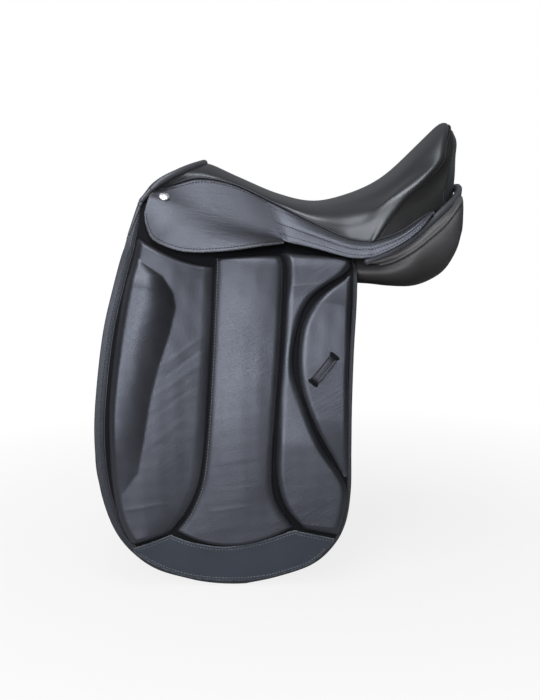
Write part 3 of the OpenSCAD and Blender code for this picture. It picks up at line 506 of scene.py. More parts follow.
SKIRT_FRONT, SKIRT_REAR = array([-226, -98, 135.0]), array([-27, -126, 73.0])
LOBE_FROM, LOBE_TO = 0.01, 0.95     # the lobe's part of the skirt's hinge line
SKIRT_T = 3.2
BAND_EDGE = [tuple(SKIRT_REAR), (5, -136, 66), (48, -147, 55), (68, -149, 53), (80, -149, 54), (91, -148, 56),
    (125, -142, 72), (153, -130, 92), (171, -112, 111)]
LOBE_EDGE = [(-229, -112, 114), (-227, -122, 98), (-218, -136, 80), (-201, -146, 71), (-175, -153, 64),
    (-143, -156, 63), (-103, -153, 66), (-66, -145, 71), (-36, -131, 73)]


def band_point(t, s):
    """Point on the band: share t along the seam, s from the seam down to the band's lower edge."""
    t, s = arrays(t, s)
    a = curve(SEAM, t)
    b = where((t <= HINGE)[..., None], lerp(SKIRT_FRONT, SKIRT_REAR, (t / HINGE)[..., None]),
        curve(BAND_EDGE, (t - HINGE) / (1 - HINGE)))
    d = unit(b - a)
    lift = smooth(t, HINGE, HINGE + 0.12) * 2 * sin(math.pi * s)
    return lerp(a + 0.9 * d, b, s[..., None]) + array([0, -0.7, 0.7]) * lift[..., None]


def lobe_point(t, s):
    """Point on the lobe: share t along its hinge line, s from there down to its edge."""
    t, s = arrays(t, s)
    h = lerp(SKIRT_FRONT, SKIRT_REAR, lerp(LOBE_FROM, LOBE_TO, t)[..., None])
    swell = 3.5 * sin(math.pi * s) * sin(math.pi * clip(t, 0.05, 0.95))
    return lerp(h, curve(LOBE_EDGE, t), s[..., None]) + array([0, -0.75, 0.66]) * swell[..., None]


# side frame of the flap: x along the hinge line, d down from it, h out from the flap's face
HINGE_PITCH, HINGE_Z = math.radians(4.86), 45.0
FLAP_NEAR, FLAP_FAR, FLAP_BEND, FLAP_T = 140.0, 222.0, 175.0, 3.5
STEP_X, STEP_D = 3.0, 2.0
TOP_EDGE_X, TOP_EDGE_SPAN = -255.5, 315.5
FLAP_TOP_EDGE = [(-236, -100.5, 122.5), (-226, -98, 123), (-195, -103, 118), (-172, -103, 113), (-152, -100, 107),
    (-122, -88, 95), (-85, -86, 90), (-40, -88, 83), (20, -98, 72), (56, -118, 56)]


def side_world(q):
    c, s = math.cos(HINGE_PITCH), math.sin(HINGE_PITCH)
    return stack([q[..., 0] * c + q[..., 2] * s, q[..., 1], HINGE_Z - q[..., 0] * s + q[..., 2] * c], -1)


def side_point(x, d, h):
    x, d, h = arrays(x, d, h)
    reach = exp(-d / FLAP_BEND)
    o = (FLAP_FAR - FLAP_NEAR) / FLAP_BEND * reach
    q = sqrt(1 + o * o)
    out = FLAP_FAR - (FLAP_FAR - FLAP_NEAR) * reach - 4 * ((x + 85) / 165) ** 2
    return side_world(stack([x, -out - h / q, -d + h * o / q], -1))


def above_hinge(x):
    """From the hinge line at x to the upper edge of the flap's margin."""
    return curve(FLAP_TOP_EDGE, (x - TOP_EDGE_X) / TOP_EDGE_SPAN) - side_point(x, 0, 0)


def flap_face():
    """The flap's outer face with the margin above the hinge line, as one smooth grid over x and d."""
    xs = arange(-290, 101, STEP_X)
    ds = arange(-112, 461, STEP_D)
    x, d = lattice(xs, ds)
    g = side_point(x, maximum(d, 0), 0)
    g = g + unit(above_hinge(xs))[:, None] * maximum(-d, 0)[..., None]
    g = lerp(g, softened(g, 60), exp(-(d / 22) ** 2)[..., None])
    return xs, ds, g, -grid_normals(g)


FACE_X, FACE_D, FACE, FACE_N = flap_face()


def on_flap(x, d, h):
    """Point and normal at height h over the flap's outer face."""
    x, d, h = arrays(x, d, h)
    u = clip((x - FACE_X[0]) / STEP_X, 0, len(FACE_X) - 1.001)
    v = clip((d - FACE_D[0]) / STEP_D, 0, len(FACE_D) - 1.001)
    i, j = u.astype(int), v.astype(int)
    fu, fv = (u - i)[..., None], (v - j)[..., None]

    def at(g):
        return lerp(lerp(g[i, j], g[i + 1, j], fu), lerp(g[i, j + 1], g[i + 1, j + 1], fu), fv)
    n = unit(at(FACE_N))
    return at(FACE) + n * h[..., None], n


FLAP_FRONT = [(-257, 0), (-265, 50), (-273, 111), (-275.5, 184), (-274, 245), (-266, 300), (-252, 347), (-232, 385),
    (-205, 412), (-171, 430), (-118, 440)]
FLAP_REAR = [(66, 0), (68, 50), (69, 111), (72.5, 184), (77, 245), (81, 298), (78, 343), (64, 377), (37, 405),
    (-9, 425.5), (-52, 438.5)]
KNEE_FRONT = [(-239, -18), (-242, 14), (-250, 69), (-254, 136), (-255, 202), (-250, 270), (-242, 324), (-230, 365),
    (-210, 397)]
KNEE_REAR = [(-131, 13), (-130.2, 36), (-127.8, 76), (-125.4, 136), (-123.4, 202), (-123, 262), (-126.5, 306),
    (-140, 345), (-160.5, 376.5)]
KNEE_BLOCK = [(10, -244), (24, -222), (37, -198), (57, -182), (75, -177), (107, -182), (152, -193), (196, -200),
    (293, -208), (345, -238)]
CENTRE_FRONT = [(-129.8, 1), (-128.2, 30), (-123.8, 124), (-121, 230), (-122.5, 299), (-134.5, 342), (-152, 372)]
CENTRE_REAR = [(-35.5, -13), (-33.3, 30), (-30.5, 117), (-29.6, 210), (-27.6, 280), (-18.5, 320), (7, 353)]
THIGH_FRONT = [(-33.5, -16), (-31.5, 18), (-29.6, 52), (-28.2, 95), (-27.8, 145), (-27.4, 195), (-26.2, 245),
    (-22, 290), (-8.5, 325), (20, 355.5)]
THIGH_REAR = [(60, -12), (52, 8), (4, 47), (-11, 95), (-11, 143), (10, 192), (37, 242), (72, 287), (76, 322),
    (69, 361)]
BLOCK_FRONT = [(51, 15), (26, 34), (7, 55), (-5, 81), (-8, 112), (-5, 145), (7, 182), (28, 222), (52, 256), (69, 280)]
BLOCK_REAR = [(57, 11), (59, 33), (60, 58), (61, 85), (63, 112), (64, 145), (67, 182), (70, 222), (73, 256),
    (75, 280)]
PATCH_TOP = [(-209, 402), (-186, 392), (-163, 380.5), (-158.5, 378), (-154, 380), (-130, 386), (-85, 388.5),
    (-37, 377), (0, 361.5), (8, 358.6), (11.5, 358), (16, 359.5), (44, 363), (65, 366)]
PATCH_LOW = [(-206, 408), (-182, 421), (-152, 431), (-118, 436.5), (-75, 436), (-30, 429.5), (5, 417.5), (36, 402),
    (60, 376)]
SWEAT_FRONT = [(-244, 6), (-260, 55), (-272, 120), (-275, 184), (-274, 245), (-269, 300), (-253, 343), (-224, 374),
    (-180, 396), (-120, 406)]
SWEAT_REAR = [(8, 6), (34, 55), (48, 120), (52, 184), (56, 245), (58, 300), (52, 336), (34, 366), (0, 388),
    (-50, 402)]


def between(front, rear, t, s, sag=0.0):
    """Place in the side frame: share t along two facing edges, share s across.
    The end of the piece bows down by sag, or its start if sag is negative."""
    q = lerp(curve(front, t), curve(rear, t), np.asarray(s)[..., None])
    bow = where(sag > 0, t ** 3, (1 - t) ** 4)
    q = q + stack([np.zeros_like(s), abs(sag) * 4 * s * (1 - s) * bow], -1)
    return q[..., 0], q[..., 1]


def pad_width(front, rear, t):
    return maximum(norm(curve(rear, t) - curve(front, t)), 8.0)


PAD_FOOT = 0.2      # height of a pad's edge over the flap


# heights of the pads over the flap at shares s and t, place x and d, and width w

def knee_height(s, t, x, d, w):
    """The crown, with the block that rises at its front and dies out lower down."""
    left = curve(KNEE_FRONT, t)[..., 0]
    table = array(KNEE_BLOCK, float)
    right = np.interp(d, table[:, 0], table[:, 1])
    u = clip((x - left) / maximum(right - left, 1), 0, 1)
    tall = smooth(d, 12, 60) * (1 - smooth(d, 230, 345))
    crest = lerp(0.42, 0.1, smooth(d, 60, 190))
    fall = clip((u - crest) / (1 - crest), 0, 1)
    block = rounded(u / 0.24) * (1 - fall * fall) * tall
    base = crown(s, w, 14, 15) * crown(t, 420, 26, 15)
    lean = clip((s - 0.2) / 0.8, 0, 1)
    return PAD_FOOT + (17.5 - 13 * lean * lean * (2 - lean)) * base + 14 * block


def centre_height(s, t, x, d, w):
    return PAD_FOOT + crown(t, 390, 24, 9) * (5.0 * crown(s, w, 11, 11) + 3.0 * 4 * s * (1 - s))


def thigh_height(s, t, x, d, w):
    return PAD_FOOT + 12 * crown(s, w, 11, 11) * crown(t, 360, 22, 13) * clip(w / 60, 0.5, 1)


def block_height(s, t, x, d, w):
    return PAD_FOOT + 10 * crown(s, w, 11, 8) * clip(w / 50, 0.1, 1)


# each pad's edges, height, sag, share of its length in the skirt's shadow, rows and columns
PADS = {
    "knee_pad": (KNEE_FRONT, KNEE_REAR, knee_height, -10.0, 0.03, 240, 90),
    "centre_pad": (CENTRE_FRONT, CENTRE_REAR, centre_height, 24.0, 0.03, 200, 56),
    "thigh_pad": (THIGH_FRONT, THIGH_REAR, thigh_height, 0.0, 0.008, 140, 40),
    "rear_block": (BLOCK_FRONT, BLOCK_REAR, block_height, 0.0, 0, 110, 34),
}

# folds in the leather: middle x and d, length, height, width; they rise to the rear
FOLDS = {
    "knee_pad": [(-160, 128, 90, 0.28, 2.6), (-158, 142, 74, -0.25, 2.4), (-166, 168, 88, 0.2, 2.8),
                 (-170, 196, 70, -0.2, 2.6), (-176, 240, 76, 0.18, 3.0), (-196, 340, 60, 0.25, 2.8)],
    "centre_pad": [(-76, 268, 60, 0.16, 3.0), (-70, 300, 56, -0.16, 2.8), (-82, 334, 60, 0.2, 3.0)],
}


def folds(kind, x, d):
    total = np.zeros_like(x)
    for x0, d0, length, height, width in FOLDS.get(kind, []):
        slope = math.radians(36 if d0 < 260 else 8)
        along = (x - x0) * math.cos(slope) - (d - d0) * math.sin(slope)
        across = (x - x0) * math.sin(slope) + (d - d0) * math.cos(slope) + 2.0 * sin(along / 17.0)
        total += height * exp(-(across / width) ** 2) * exp(-(2 * along / length) ** 4)
    return total


def pad_point(kind, t, s):
    """Point and normal on a pad, found from its height at neighbouring places."""
    front, rear, height, sag = PADS[kind][:4]
    t, s = arrays(t, s)
    e = 0.004

    def at(tt, ss):
        x, d = between(front, rear, tt, ss, sag)
        return on_flap(x, d, height(ss, tt, x, d, pad_width(front, rear, tt)))[0]
    n = cross(at(minimum(t + e, 1), s) - at(maximum(t - e, 0), s),
        at(t, minimum(s + e, 1)) - at(t, maximum(s - e, 0)))
    return at(t, s), unit(n)


# putting pieces in the frame

def flap_blend(obj, side):
    start, end = (on_flap(-90, d, 0)[0] * MM for d in (-9.0, 9.0))
    flip = array([1, -1 if side == "right" else 1, 1])
    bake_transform(obj)


def skirt_blend(obj, side):
    axis = unit(SKIRT_REAR - SKIRT_FRONT)
    middle = (SKIRT_FRONT + SKIRT_REAR) / 2
    down = lobe_point(0.5, 1.0) - middle
    down = unit(down - axis * (down @ axis))
    flip = array([1, -1 if side == "right" else 1, 1]) * MM
    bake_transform(obj)


def settle(obj, nodes=(), body="saddle"):
    """What a piece rides on (nothing if body is None) and which solids it stands for."""
    if body:
        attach(obj, body)
    if nodes:
        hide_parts(*nodes)


def paint_faces(obj, choice, *materials):
    """More materials for the outer faces of a grid; 0 in choice is the one that it has."""
    for material in materials:
        obj.data.materials.append(material)
    for face, k in zip(obj.data.polygons, choice.ravel()):
        face.material_index = int(k)


# flap, pads, wear patch and keeper

STRIP, GROOVE = 12.0, 10.4      # width of the raised strip along the flap's front, and where its seam runs
PATCH_FROM, PATCH_TO = 375, 425     # the strip fades between these depths, towards the wear patch
PATCH_H, PATCH_T = 2.1, 1.6     # height of the wear patch's face over the flap, and its thickness


def flap_grid():
    """The flap's outer face with a raised strip along its front, and which points take painted shade: near-black
    leather under the pads, in the grooves between them and in the recess under the skirt.
    """
    near = array([0, 0.4, 1.0, 2.0, 4.0, 6.5, 9.0, 9.8, GROOVE, 11.0, 11.6, 12.2, 12.9, 13.6, 14.4])
    far = array([5.5, 3.5, 1.6, 0.8, 0.4, 0])
    middle = even(84)[1:-1]
    t = even(130)
    w = pad_width(FLAP_FRONT, FLAP_REAR, t)[:, None]
    s = concatenate([near / w, lerp(near[-1] / w, 1 - far[0] / w, middle), 1 - far / w], axis=1)
    x, d = between(FLAP_FRONT, FLAP_REAR, np.broadcast_to(t[:, None], s.shape), s, 2.0)
    # the margin above the hinge line, taller behind the foot of the pommel roll
    ux = lerp(FLAP_FRONT[0][0], FLAP_REAR[0][0], s[0])
    reach = norm(above_hinge(ux))
    reach = reach * lerp(1.30, 0.97, smooth(ux, -225, -190)) * lerp(0.82, 1, smooth(ux, -232, -224))
    up = -reach[None] * linspace(1, 0.04, 28)[:, None]
    x = concatenate([np.broadcast_to(ux, up.shape), x])
    d = concatenate([up, d])
    margin = concatenate([near, np.full(len(middle) + len(far), NO_EDGE)])[None]
    h = 0.9 * (1 - smooth(margin, STRIP, STRIP + 1.6)) - 0.5 * exp(-((margin - GROOVE) / 0.7) ** 2)
    h = h * (1 - smooth(d, PATCH_FROM, PATCH_TO))
    column = arange(s.shape[1])[None]
    # points between and under the pads and under the skirt, which take painted shade
    shaded_points = (column >= len(near) - 1) & (column <= s.shape[1] - len(far)) & (d < PATCH_TO)
    return on_flap(x, d, h)[0], shaded_points


def flap_rows():
    """Stitch rows on the flap: those in dark thread, and those in its paler copy, a painted highlight for thread that
    catches the light.
    """
    def inside(kind, far, mm, t):
        front, rear = PADS[kind][:2]
        width = norm(curve(rear, t) - curve(front, t))
        share = mm / maximum(width, 2 * mm + 1)
        return pad_point(kind, t, 1 - share if far else share)

    def along_edge(edge, end, mm, height):
        q = curve(edge, linspace(0.0, end, 240))
        step = unit(np.gradient(q, axis=0))
        q = q + stack([step[:, 1], -step[:, 0]], -1) * mm
        return on_flap(q[:, 0], q[:, 1], height)

    def on_patch(edge, clear, mm):
        q = curve(edge, linspace(clear, 1 - clear, 200))
        return on_flap(q[:, 0], q[:, 1] + mm, PATCH_H + 0.2)
    t = linspace(0.02, 0.985, 220)
    dark = [inside("centre_pad", True, 3.5, t), inside("rear_block", False, 3.0, linspace(0.03, 0.97, 160)),
        along_edge(FLAP_FRONT, 0.80, 8.0, 1.1), along_edge(FLAP_REAR, 0.74, -4.5, 0.2)]
    d = linspace(-62, -2, 40)
    lit_rows = [inside("centre_pad", False, 3.5, t), on_patch(PATCH_TOP, 0.02, 4.5), on_patch(PATCH_LOW, 0.04, -4.5),
        on_flap(-249.0, d, 1.1), on_flap(-255.4, d, 0.9)]
    return dark, lit_rows


def build_flap(side):
    """Flap with the margin that is nailed to the tree, pads, wear patch, keeper and stitches."""
    g, shaded_points = flap_grid()
    flap = sheet("flap_hide", g, FLAP_T, black, side)
    # painted shade: faces between and under the pads and under the skirt take the near-black leather
    paint_faces(flap, shaded_points[:-1, :-1] & shaded_points[1:, 1:] & shaded_points[:-1, 1:] & shaded_points[1:, :-1], painted_shade_hide)
    flap_blend(flap, side)
    settle(flap, ["flap_" + side, "flap_top_" + side], None)
    for kind, (front, rear, _, sag, shade, rows, cols) in PADS.items():
        t = crowded(rows, 0.6)
        tt, ss = lattice(t, crowded(cols, 0.75))
        p, n = pad_point(kind, tt, ss)
        x, d = between(front, rear, tt, ss, sag)
        wrinkle = 0.25 * soft_noise(p, 60, 3) + 0.12 * soft_noise(p, 22, 5) + folds(kind, x, d)
        inner = clip(edge_distance(p) / 12, 0, 1)
        p = p + n * (wrinkle * inner)[..., None]
        pad = shell(kind, p, on_flap(x, d, -0.3)[0], pad_hide, side)
        # painted shadow of the skirt: a pad's top rows take the dim leather, and the very top the near-black one
        dim = (t[:-1] < shade).astype(int) + (t[:-1] < shade / 2)
        paint_faces(pad, np.repeat(dim, cols), shade_hide, painted_shade_hide)
        flap_blend(pad, side)
        settle(pad, [kind + "_" + side], None)
    tt, ss = lattice(spread(120, 0.002, 0.005), spread(14, 0.012, 0.03))
    x, d = between(PATCH_TOP, PATCH_LOW, tt, ss)
    patch = sheet("wear_patch_hide", facing(on_flap(x, d, PATCH_H)[0], OUT), PATCH_T, patch_hide, side,
        edge=0.6, wear=2.5)
    flap_blend(patch, side)
    settle(patch, ["wear_patch_" + side], None)
    keeper(side)
    # dark thread, and its paler copy as a painted highlight
    for name, rows, colour in zip(("flap_stitching", "pad_stitching"), flap_rows(), (thread, painted_lit_thread)):
        seams = stitches(name, rows, colour, side)
        flap_blend(seams, side)
        settle(seams, body=None)


KEEPER_X, KEEPER_D, KEEPER_TURN = 29.0, 138.0, math.radians(55)
KEEPER_HALF, KEEPER_W, KEEPER_FOOT = 23, 13, 10.5
SLIT_HALF, SLIT_H = 8.0, 10.7


def keeper(side):
    """Leather loop whose ends go into two slits in the half-moon block."""
    p0, n0 = (v[None] for v in on_flap(KEEPER_X, KEEPER_D, 0))
    ahead = on_flap(KEEPER_X + math.cos(KEEPER_TURN) * 5, KEEPER_D - math.sin(KEEPER_TURN) * 5, 0)[0]
    along = unit(ahead - p0)
    across = cross(n0, along)

    def strap(u):
        u = abs(u)
        return KEEPER_FOOT + 6.0 * clip(1 - (u / KEEPER_HALF) ** 6, 0, 1) - 3.0 * smooth(u, 19, KEEPER_HALF)

    def place(u, w, z):
        u, w, z = (v[..., None] for v in arrays(u, w, z))
        return p0 + along * u + across * w + n0 * z
    uu, ww = lattice(linspace(-KEEPER_HALF, KEEPER_HALF, 60), spread(15, 0.02, 0.06, 0.1) * KEEPER_W - KEEPER_W / 2)
    seam = 3.6
    ridge = 0.5 * exp(-((abs(ww) - 5.3) / 0.9) ** 2) - 0.4 * exp(-((abs(ww) - seam) / 0.6) ** 2)
    loop = sheet("keeper_hide", facing(place(uu, ww, strap(uu) + ridge), OUT), 2.0, black, side, edge=0.8,
        wear=2.0)
    settle(loop, ["keeper_" + side], "flap_" + side)
    k = linspace(-19, 19, 60)
    rows = [(place(k, off, strap(k)), np.broadcast_to(n0, (len(k), 3))) for off in (-seam, seam)]
    # keeper stitches in the paler thread: painted highlight
    settle(stitches("keeper_stitching", rows, painted_lit_thread, side, 2.2, 3.2, 0.4), body="flap_" + side)
    # near-black sheets where the keeper's ends go in: painted shade in the slits
    for end, name in ((-1, "keeper_slit_low"), (1, "keeper_slit_top")):
        uu, ww = lattice(linspace(-2.6, 2.6, 10), linspace(-SLIT_HALF, SLIT_HALF, 24))
        uu = uu * arc(ww / SLIT_HALF, 4, 0.02) + end * 23.4
        slit = sheet(name, facing(place(uu, ww, SLIT_H), OUT), 1.2, slit_shade_hide, side, edge=0.4)
        settle(slit, body="flap_" + side)


# skirt

def skirt_grid():
    """The skirt's outer face: the front of the band, then the lobe that lifts."""
    t = spread(90, 0.004, 0.01, 0.02)
    upper = concatenate([[0, 0.02, 0.05], even(18)[2:-1]])
    lower = spread(36, 0.008, 0.02, 0.035)
    lower = concatenate([[0], lower[lower > 0.06]])
    tt, ss = lattice(t, upper)
    front = band_point(HINGE * lerp(lerp(0.03, LOBE_FROM, ss), LOBE_TO, tt), ss)
    g = concatenate([front, lobe_point(*lattice(t, lower))], axis=1)
    near = exp(-((arange(g.shape[1]) - len(upper)) / 4.0) ** 2)[None, :, None]
    return lerp(g, softened(g, 10), near * (1 - smooth(t, 0.86, 1.0))[:, None, None])


def band_face(t, s):
    """Point and normal on the band behind the skirt: a high strip and a lower one beside it."""
    t, s = arrays(t, s)
    e, f = 0.004, 0.02
    n = unit(cross(band_point(t + e, s) - band_point(t - e, s), band_point(t, s + f) - band_point(t, s - f)))
    n = n * np.sign(n[..., 2:3] - n[..., 1:2])
    high = where(s < 0.5, 1.4 * arc(4 * s - 1, 4), 0.6 * arc(4 * s - 3, 6))
    high = high * smooth(t, HINGE * LOBE_TO, HINGE * 1.15)
    return band_point(t, s) + n * high[..., None], n


def inset(edge, inner, mm):
    """Row of points mm inside an edge, with normals out of the saddle."""
    p = edge + unit(inner - edge) * mm
    n = unit(cross(np.gradient(p, axis=0), inner - edge))
    n = n * np.sign((n[:, 2:3] - n[:, 1:2]))
    return p + n * 0.2, n


def build_skirt(side):
    """The lobe that lifts, with the front of the band, then the band behind it and the stud."""
    g = skirt_grid()
    outer = facing(g, UP_AND_OUT, 1)
    skirt = sheet("skirt_hide", outer, SKIRT_T, skirt_hide, side, wear=4.0, joined=("last",))
    seams = stitches("skirt_stitching", [inset(g[5:, -1], g[5:, -5], 5.0)], thread, side)
    for obj, nodes in ((skirt, ["skirt_" + side]), (seams, ())):
        skirt_blend(obj, side)
        settle(obj, nodes, None)
    tt, ss = lattice(lerp(HINGE * 0.945, 1.0, spread(120, 0.003, 0.008)), spread(40, 0.02, 0.05))
    band = sheet("skirt_band_hide", facing(band_face(tt, ss)[0], UP_AND_OUT, 1), SKIRT_T, skirt_hide, side,
        wear=2.5, joined=("first",))
    settle(band, ["skirt_band_" + side])
    split = HINGE * 0.94
    k = linspace(0.035, split, 160)
    rows = [inset(band_point(k, 0), band_point(k, 1), 6.0)]
    rows += [band_face(linspace(split, 0.985, 220), s) for s in (0.16, 0.56, 0.84)]
    settle(stitches("band_stitching", rows, thread, side))
    stud(side, outer)


def stud(side, g):
    """Chrome nail with a domed head on the front of the skirt."""
    place = band_point(0.045, 0.62)
    k = np.unravel_index(norm(g - place).argmin(), g.shape[:2])
    up = grid_normals(g)[k]
    across = unit(cross(up, array([1.0, 0, 0])))
    other = cross(up, across)
    r = concatenate([linspace(0.05, 1, 16) ** 0.7, [1.0, 0.97, 0.5]])[:, None, None]
    z = 1.5 * arc(r, 2.4) + 2.0
    z[16:, 0, 0] = 0.0, -0.2, -0.2
    w = circle(40)[:, None]
    middle = place + up * up @ (g[k] - place)
    ring = middle + 7.9 * r * (across * cos(w) + other * sin(w)) + up * z
    settle(ring_solid("skirt_nail", ring, chrome, side), ["skirt_stud_" + side])


# cantle and panel

BACK_SEAM = [(184, -95, 129), (194, -80, 158), (201, -60, 186), (208, -36, 208), (207, -13, 225)]
FACING_LOW = [(91, -126.5, 72), (124, -120.5, 83), (152, -110.5, 99), (172, -100.5, 110), (188, -89, 119)]
CANTLE_ROLL = [(76, -134, 47.5), (105, -132.5, 58.5), (125, -128.5, 68), (146, -121.5, 81), (166, -110.5, 97.5),
    (189, -90, 115), (210.5, -54, 131), (218, -22, 140), (220, 0, 142)]
# stations of the panel: x, distance from the middle, z, half width, half height, tilt in degrees
PANEL = [(-214, 88, 66, 30, 9, 50), (-180, 86, 61, 38, 13, 46), (-120, 83, 57, 43, 17, 36),
    (-40, 82, 48, 44, 18.5, 27), (40, 84, 41, 44, 18, 20), (80, 86, 40, 49, 18, 18), (110, 87, 41.5, 55, 22.5, 17),
    (140, 87, 48, 56, 32, 16), (165, 81, 57, 51, 38, 14), (190, 73, 71, 44, 40, 11), (208, 66, 92, 36, 36, 8),
    (217, 61, 107, 22, 26, 5)]
BILLET_T, BILLET_GAP = 3.5, 3.2     # a billet hangs between flap and sweat flap, with a gap on both sides


def facing_point(v, s):
    """Point on the facing under the cantle's rim: share v up its rear seam, s from the rim to that seam."""
    r = seat_point(1.0, lerp(-0.97, 0.0, v))
    g = curve(BACK_SEAM, v)
    low = curve(FACING_LOW, s)
    s, v = s[..., None], v[..., None]
    p = lerp(r + 0.6 * unit(g - r), g, s) + (1 - v) ** 2 * 4 * s * (1 - s) * array([0, -5, -6])
    return lerp(p, low, clip(1 - v / 0.16, 0, 1) ** 2)


def back_point(v, s):
    """Point on the cantle's back: share v up, s from the left to the right."""
    g = curve(BACK_SEAM, v) - array([0, 0, 24.0]) * (clip(1 - v / 0.22, 0, 1) ** 2)[..., None]
    bulge = lerp(28, 3, v ** 0.8) * 4 * s * (1 - s)
    return lerp(g, mirrored(g), s[..., None]) + bulge[..., None] * array(BACK)


def panel_point(t, angle, off):
    """Point off mm outside the panel: share t along it, angle around it."""
    x, y, z, wide, tall, tilt = np.moveaxis(curve(PANEL, t), -1, 0)
    a, tilt = np.radians(angle), np.radians(tilt)

    def bulge(v):
        return np.sign(v) * abs(v) ** 0.72
    u = (wide + off) * bulge(cos(a))
    v = (tall + off) * bulge(sin(a))
    return stack([x, -(y + u * cos(tilt) + v * sin(tilt)), z - u * sin(tilt) + v * cos(tilt)], -1)


def build_rear(side):
    """Welt of the seat, facing under the cantle's rim, panel with piping and gusset, sweat flap."""
    line = curve(SEAM, linspace(0.012, 0.985, 200)) + array([0, -0.2, 0.8])
    settle(tube("seat_welt", line, 1.7, black, side, 10))
    g = facing_point(*lattice(even(60), spread(24, 0.01, 0.03)))
    cover = sheet("cantle_facing_hide", facing(g, OUT), 2.4, facing_hide, side, wear=3.0)
    settle(cover, ["cantle_facing_" + side])

    def panel_piece(obj, nodes=()):
        settle(obj, nodes)
    t, w = lattice(even(90), linspace(0, 360, 65)[:-1])
    panel = ring_solid("panel_cushion", panel_point(t, w, 0), panel_hide, side)
    panel_piece(panel, ["panel_" + side])
    k = even(90)
    welt_r = 2.2
    line = panel_point(lerp(0.5, 0.96, k), lerp(42, 56, k), welt_r)
    panel_piece(tube("panel_welt", line, welt_r, panel_hide, side), ["panel_piping_" + side])
    under_roll = curve(CANTLE_ROLL, 0.86 * k) + array([0, -2.5, -3.5])
    w = even(12)[:, None]
    g = lerp(line[:, None], under_roll[:, None], w) + array([0.0, -0.8, 0.3]) * (3.0 * sin(math.pi * w))
    panel_piece(sheet("panel_gusset", facing(g, OUT), 2.0, panel_hide, side))
    x, d = between(SWEAT_FRONT, SWEAT_REAR, *lattice(even(100), spread(70, 0.002, 0.006)))
    h = -FLAP_T - BILLET_T - 2 * BILLET_GAP - 0.8 * (1 - smooth(d, 6, 60))
    panel_piece(sheet("sweat_hide", side_point(x, d, h), 2.5, panel_hide, side), ["sweat_flap_" + side])


# seat, pommel and cantle

def front_frame(b):
    """Directions at the seat's front edge: forward out of the seat, and up."""
    p = seat_point(0.0, b)
    e = unit(seat_point(0.0, b - 0.01) - seat_point(0.0, b + 0.01))
    d = unit(p - seat_point(0.02, b))
    out = unit(d - np.sum(d * e, -1, keepdims=True) * e)
    return p, out, cross(out, e)


def front_start(b, clear):
    """Where the seat's cover starts, the given distance behind the middle of the pommel roll."""
    p, out, _ = front_frame(b)
    lo, hi = np.zeros_like(b), np.full_like(b, 0.25)
    for _ in range(14):
        m = (lo + hi) / 2
        far = np.sum((p - seat_point(m, b)) * out, -1) > clear
        lo, hi = where(far, lo, m), where(far, m, hi)
    return (lo + hi) / 2


ROLL_R, CANTLE_ROLL_R = 5, 5.5
POMMEL_ARCH = [(-176, -121, 46), (-175, -111, 72), (-172, -96, 94), (-164, -78, 112), (-150, -54, 127),
    (-136, -28, 134.5), (-130, 0, 137.3)]


def both_halves(half):
    """Path over the saddle's middle from its left half, whose last point is in the middle."""
    return concatenate([half, mirrored(half[-2::-1])])


def build_seat():
    a, b = lattice(spread(120, 0.002, 0.005, 0.01), spread(110, 0.003, 0.008, 0.015) * 2 - 1)
    a = lerp(front_start(b[0], 2.0)[None], 1.0, a)
    g = facing(seat_point(a, b), UP)
    u = clip((a if g[0, 0, 0] < g[-1, 0, 0] else a[::-1]) / 0.2 - 4, 0, 1)
    round_top = u * u * arc(u, 8)
    g = g + grid_normals(g) * (round_top * lerp(15, 5, smooth(abs(b), 0.2, 0.9)))[..., None]
    settle(sheet("seat_cushion", g, 3.0, seat_hide, edge=1.4), ["seat_cover"])
    g = facing(seat_point(*lattice(linspace(0.16, 0.92, 50), linspace(-0.5, 0.5, 40))), UP)
    core = sheet("seat_core", g - grid_normals(g) * 4.8, 12.0, foam, edge=3.0)
    settle(core, ["seat_foam"])


def build_pommel():
    """The roll over the pommel, which runs down into the flap's front edge, and the facing under it."""
    p, out, up = front_frame(linspace(-0.98, 0.0, 60))
    roll = p - 0.75 * up
    edge = on_flap(-256.0, linspace(-10, -66, 24), linspace(-3, 20, 24).clip(-2, 0.2))[0]
    foot = curve([tuple(edge[-1]), (-234, -100, 128), (-230.3, -97, 132.5), (-225.8, -92.5, 138), tuple(roll[0])],
        even(30))[1:-1]
    path = both_halves(concatenate([edge, foot, roll]))
    z = path[:, 2]
    radius = ROLL_R * lerp(lerp(0.24, 0.72, smooth(z, 60, 127)), 1, smooth(z, 127, 157))
    settle(tube("pommel_roll_hide", path, radius, roll_hide, sides=18), ["pommel_roll"])
    b = linspace(-0.64, 0.64, 60)
    p, out, up = front_frame(b)
    q = curve(POMMEL_ARCH, 1 - 0.6 * abs(b))
    e = stack([q[:, 0] - 23, where(b > 0, -1, 1) * q[:, 1] * 0.95, q[:, 2] - 9.5], -1)
    g = lerp((p - out - 6.55 * up)[:, None], e[:, None], even(16)[:, None])
    settle(sheet("pommel_facing_hide", facing(g, FORWARD), 2.5, black), ["pommel_facing"])


def build_cantle():
    rim = seat_point(1.0, linspace(-0.985, 0.985, 160))
    settle(tube("seat_rim_welt", rim, 1.3, facing_hide, sides=10))
    g = back_point(*lattice(even(50), even(60)))
    settle(sheet("cantle_back_hide", facing(g, BACK), 2.6, seat_hide), ["cantle_back"])
    path = both_halves(curve(CANTLE_ROLL, even(90)))
    settle(tube("cantle_roll_hide", path, CANTLE_ROLL_R, roll_hide, sides=18), ["cantle_roll"])


for side in ("left", "right"):
    build_flap(side)
    build_skirt(side)
    build_rear(side)
build_seat()
build_pommel()
build_cantle()

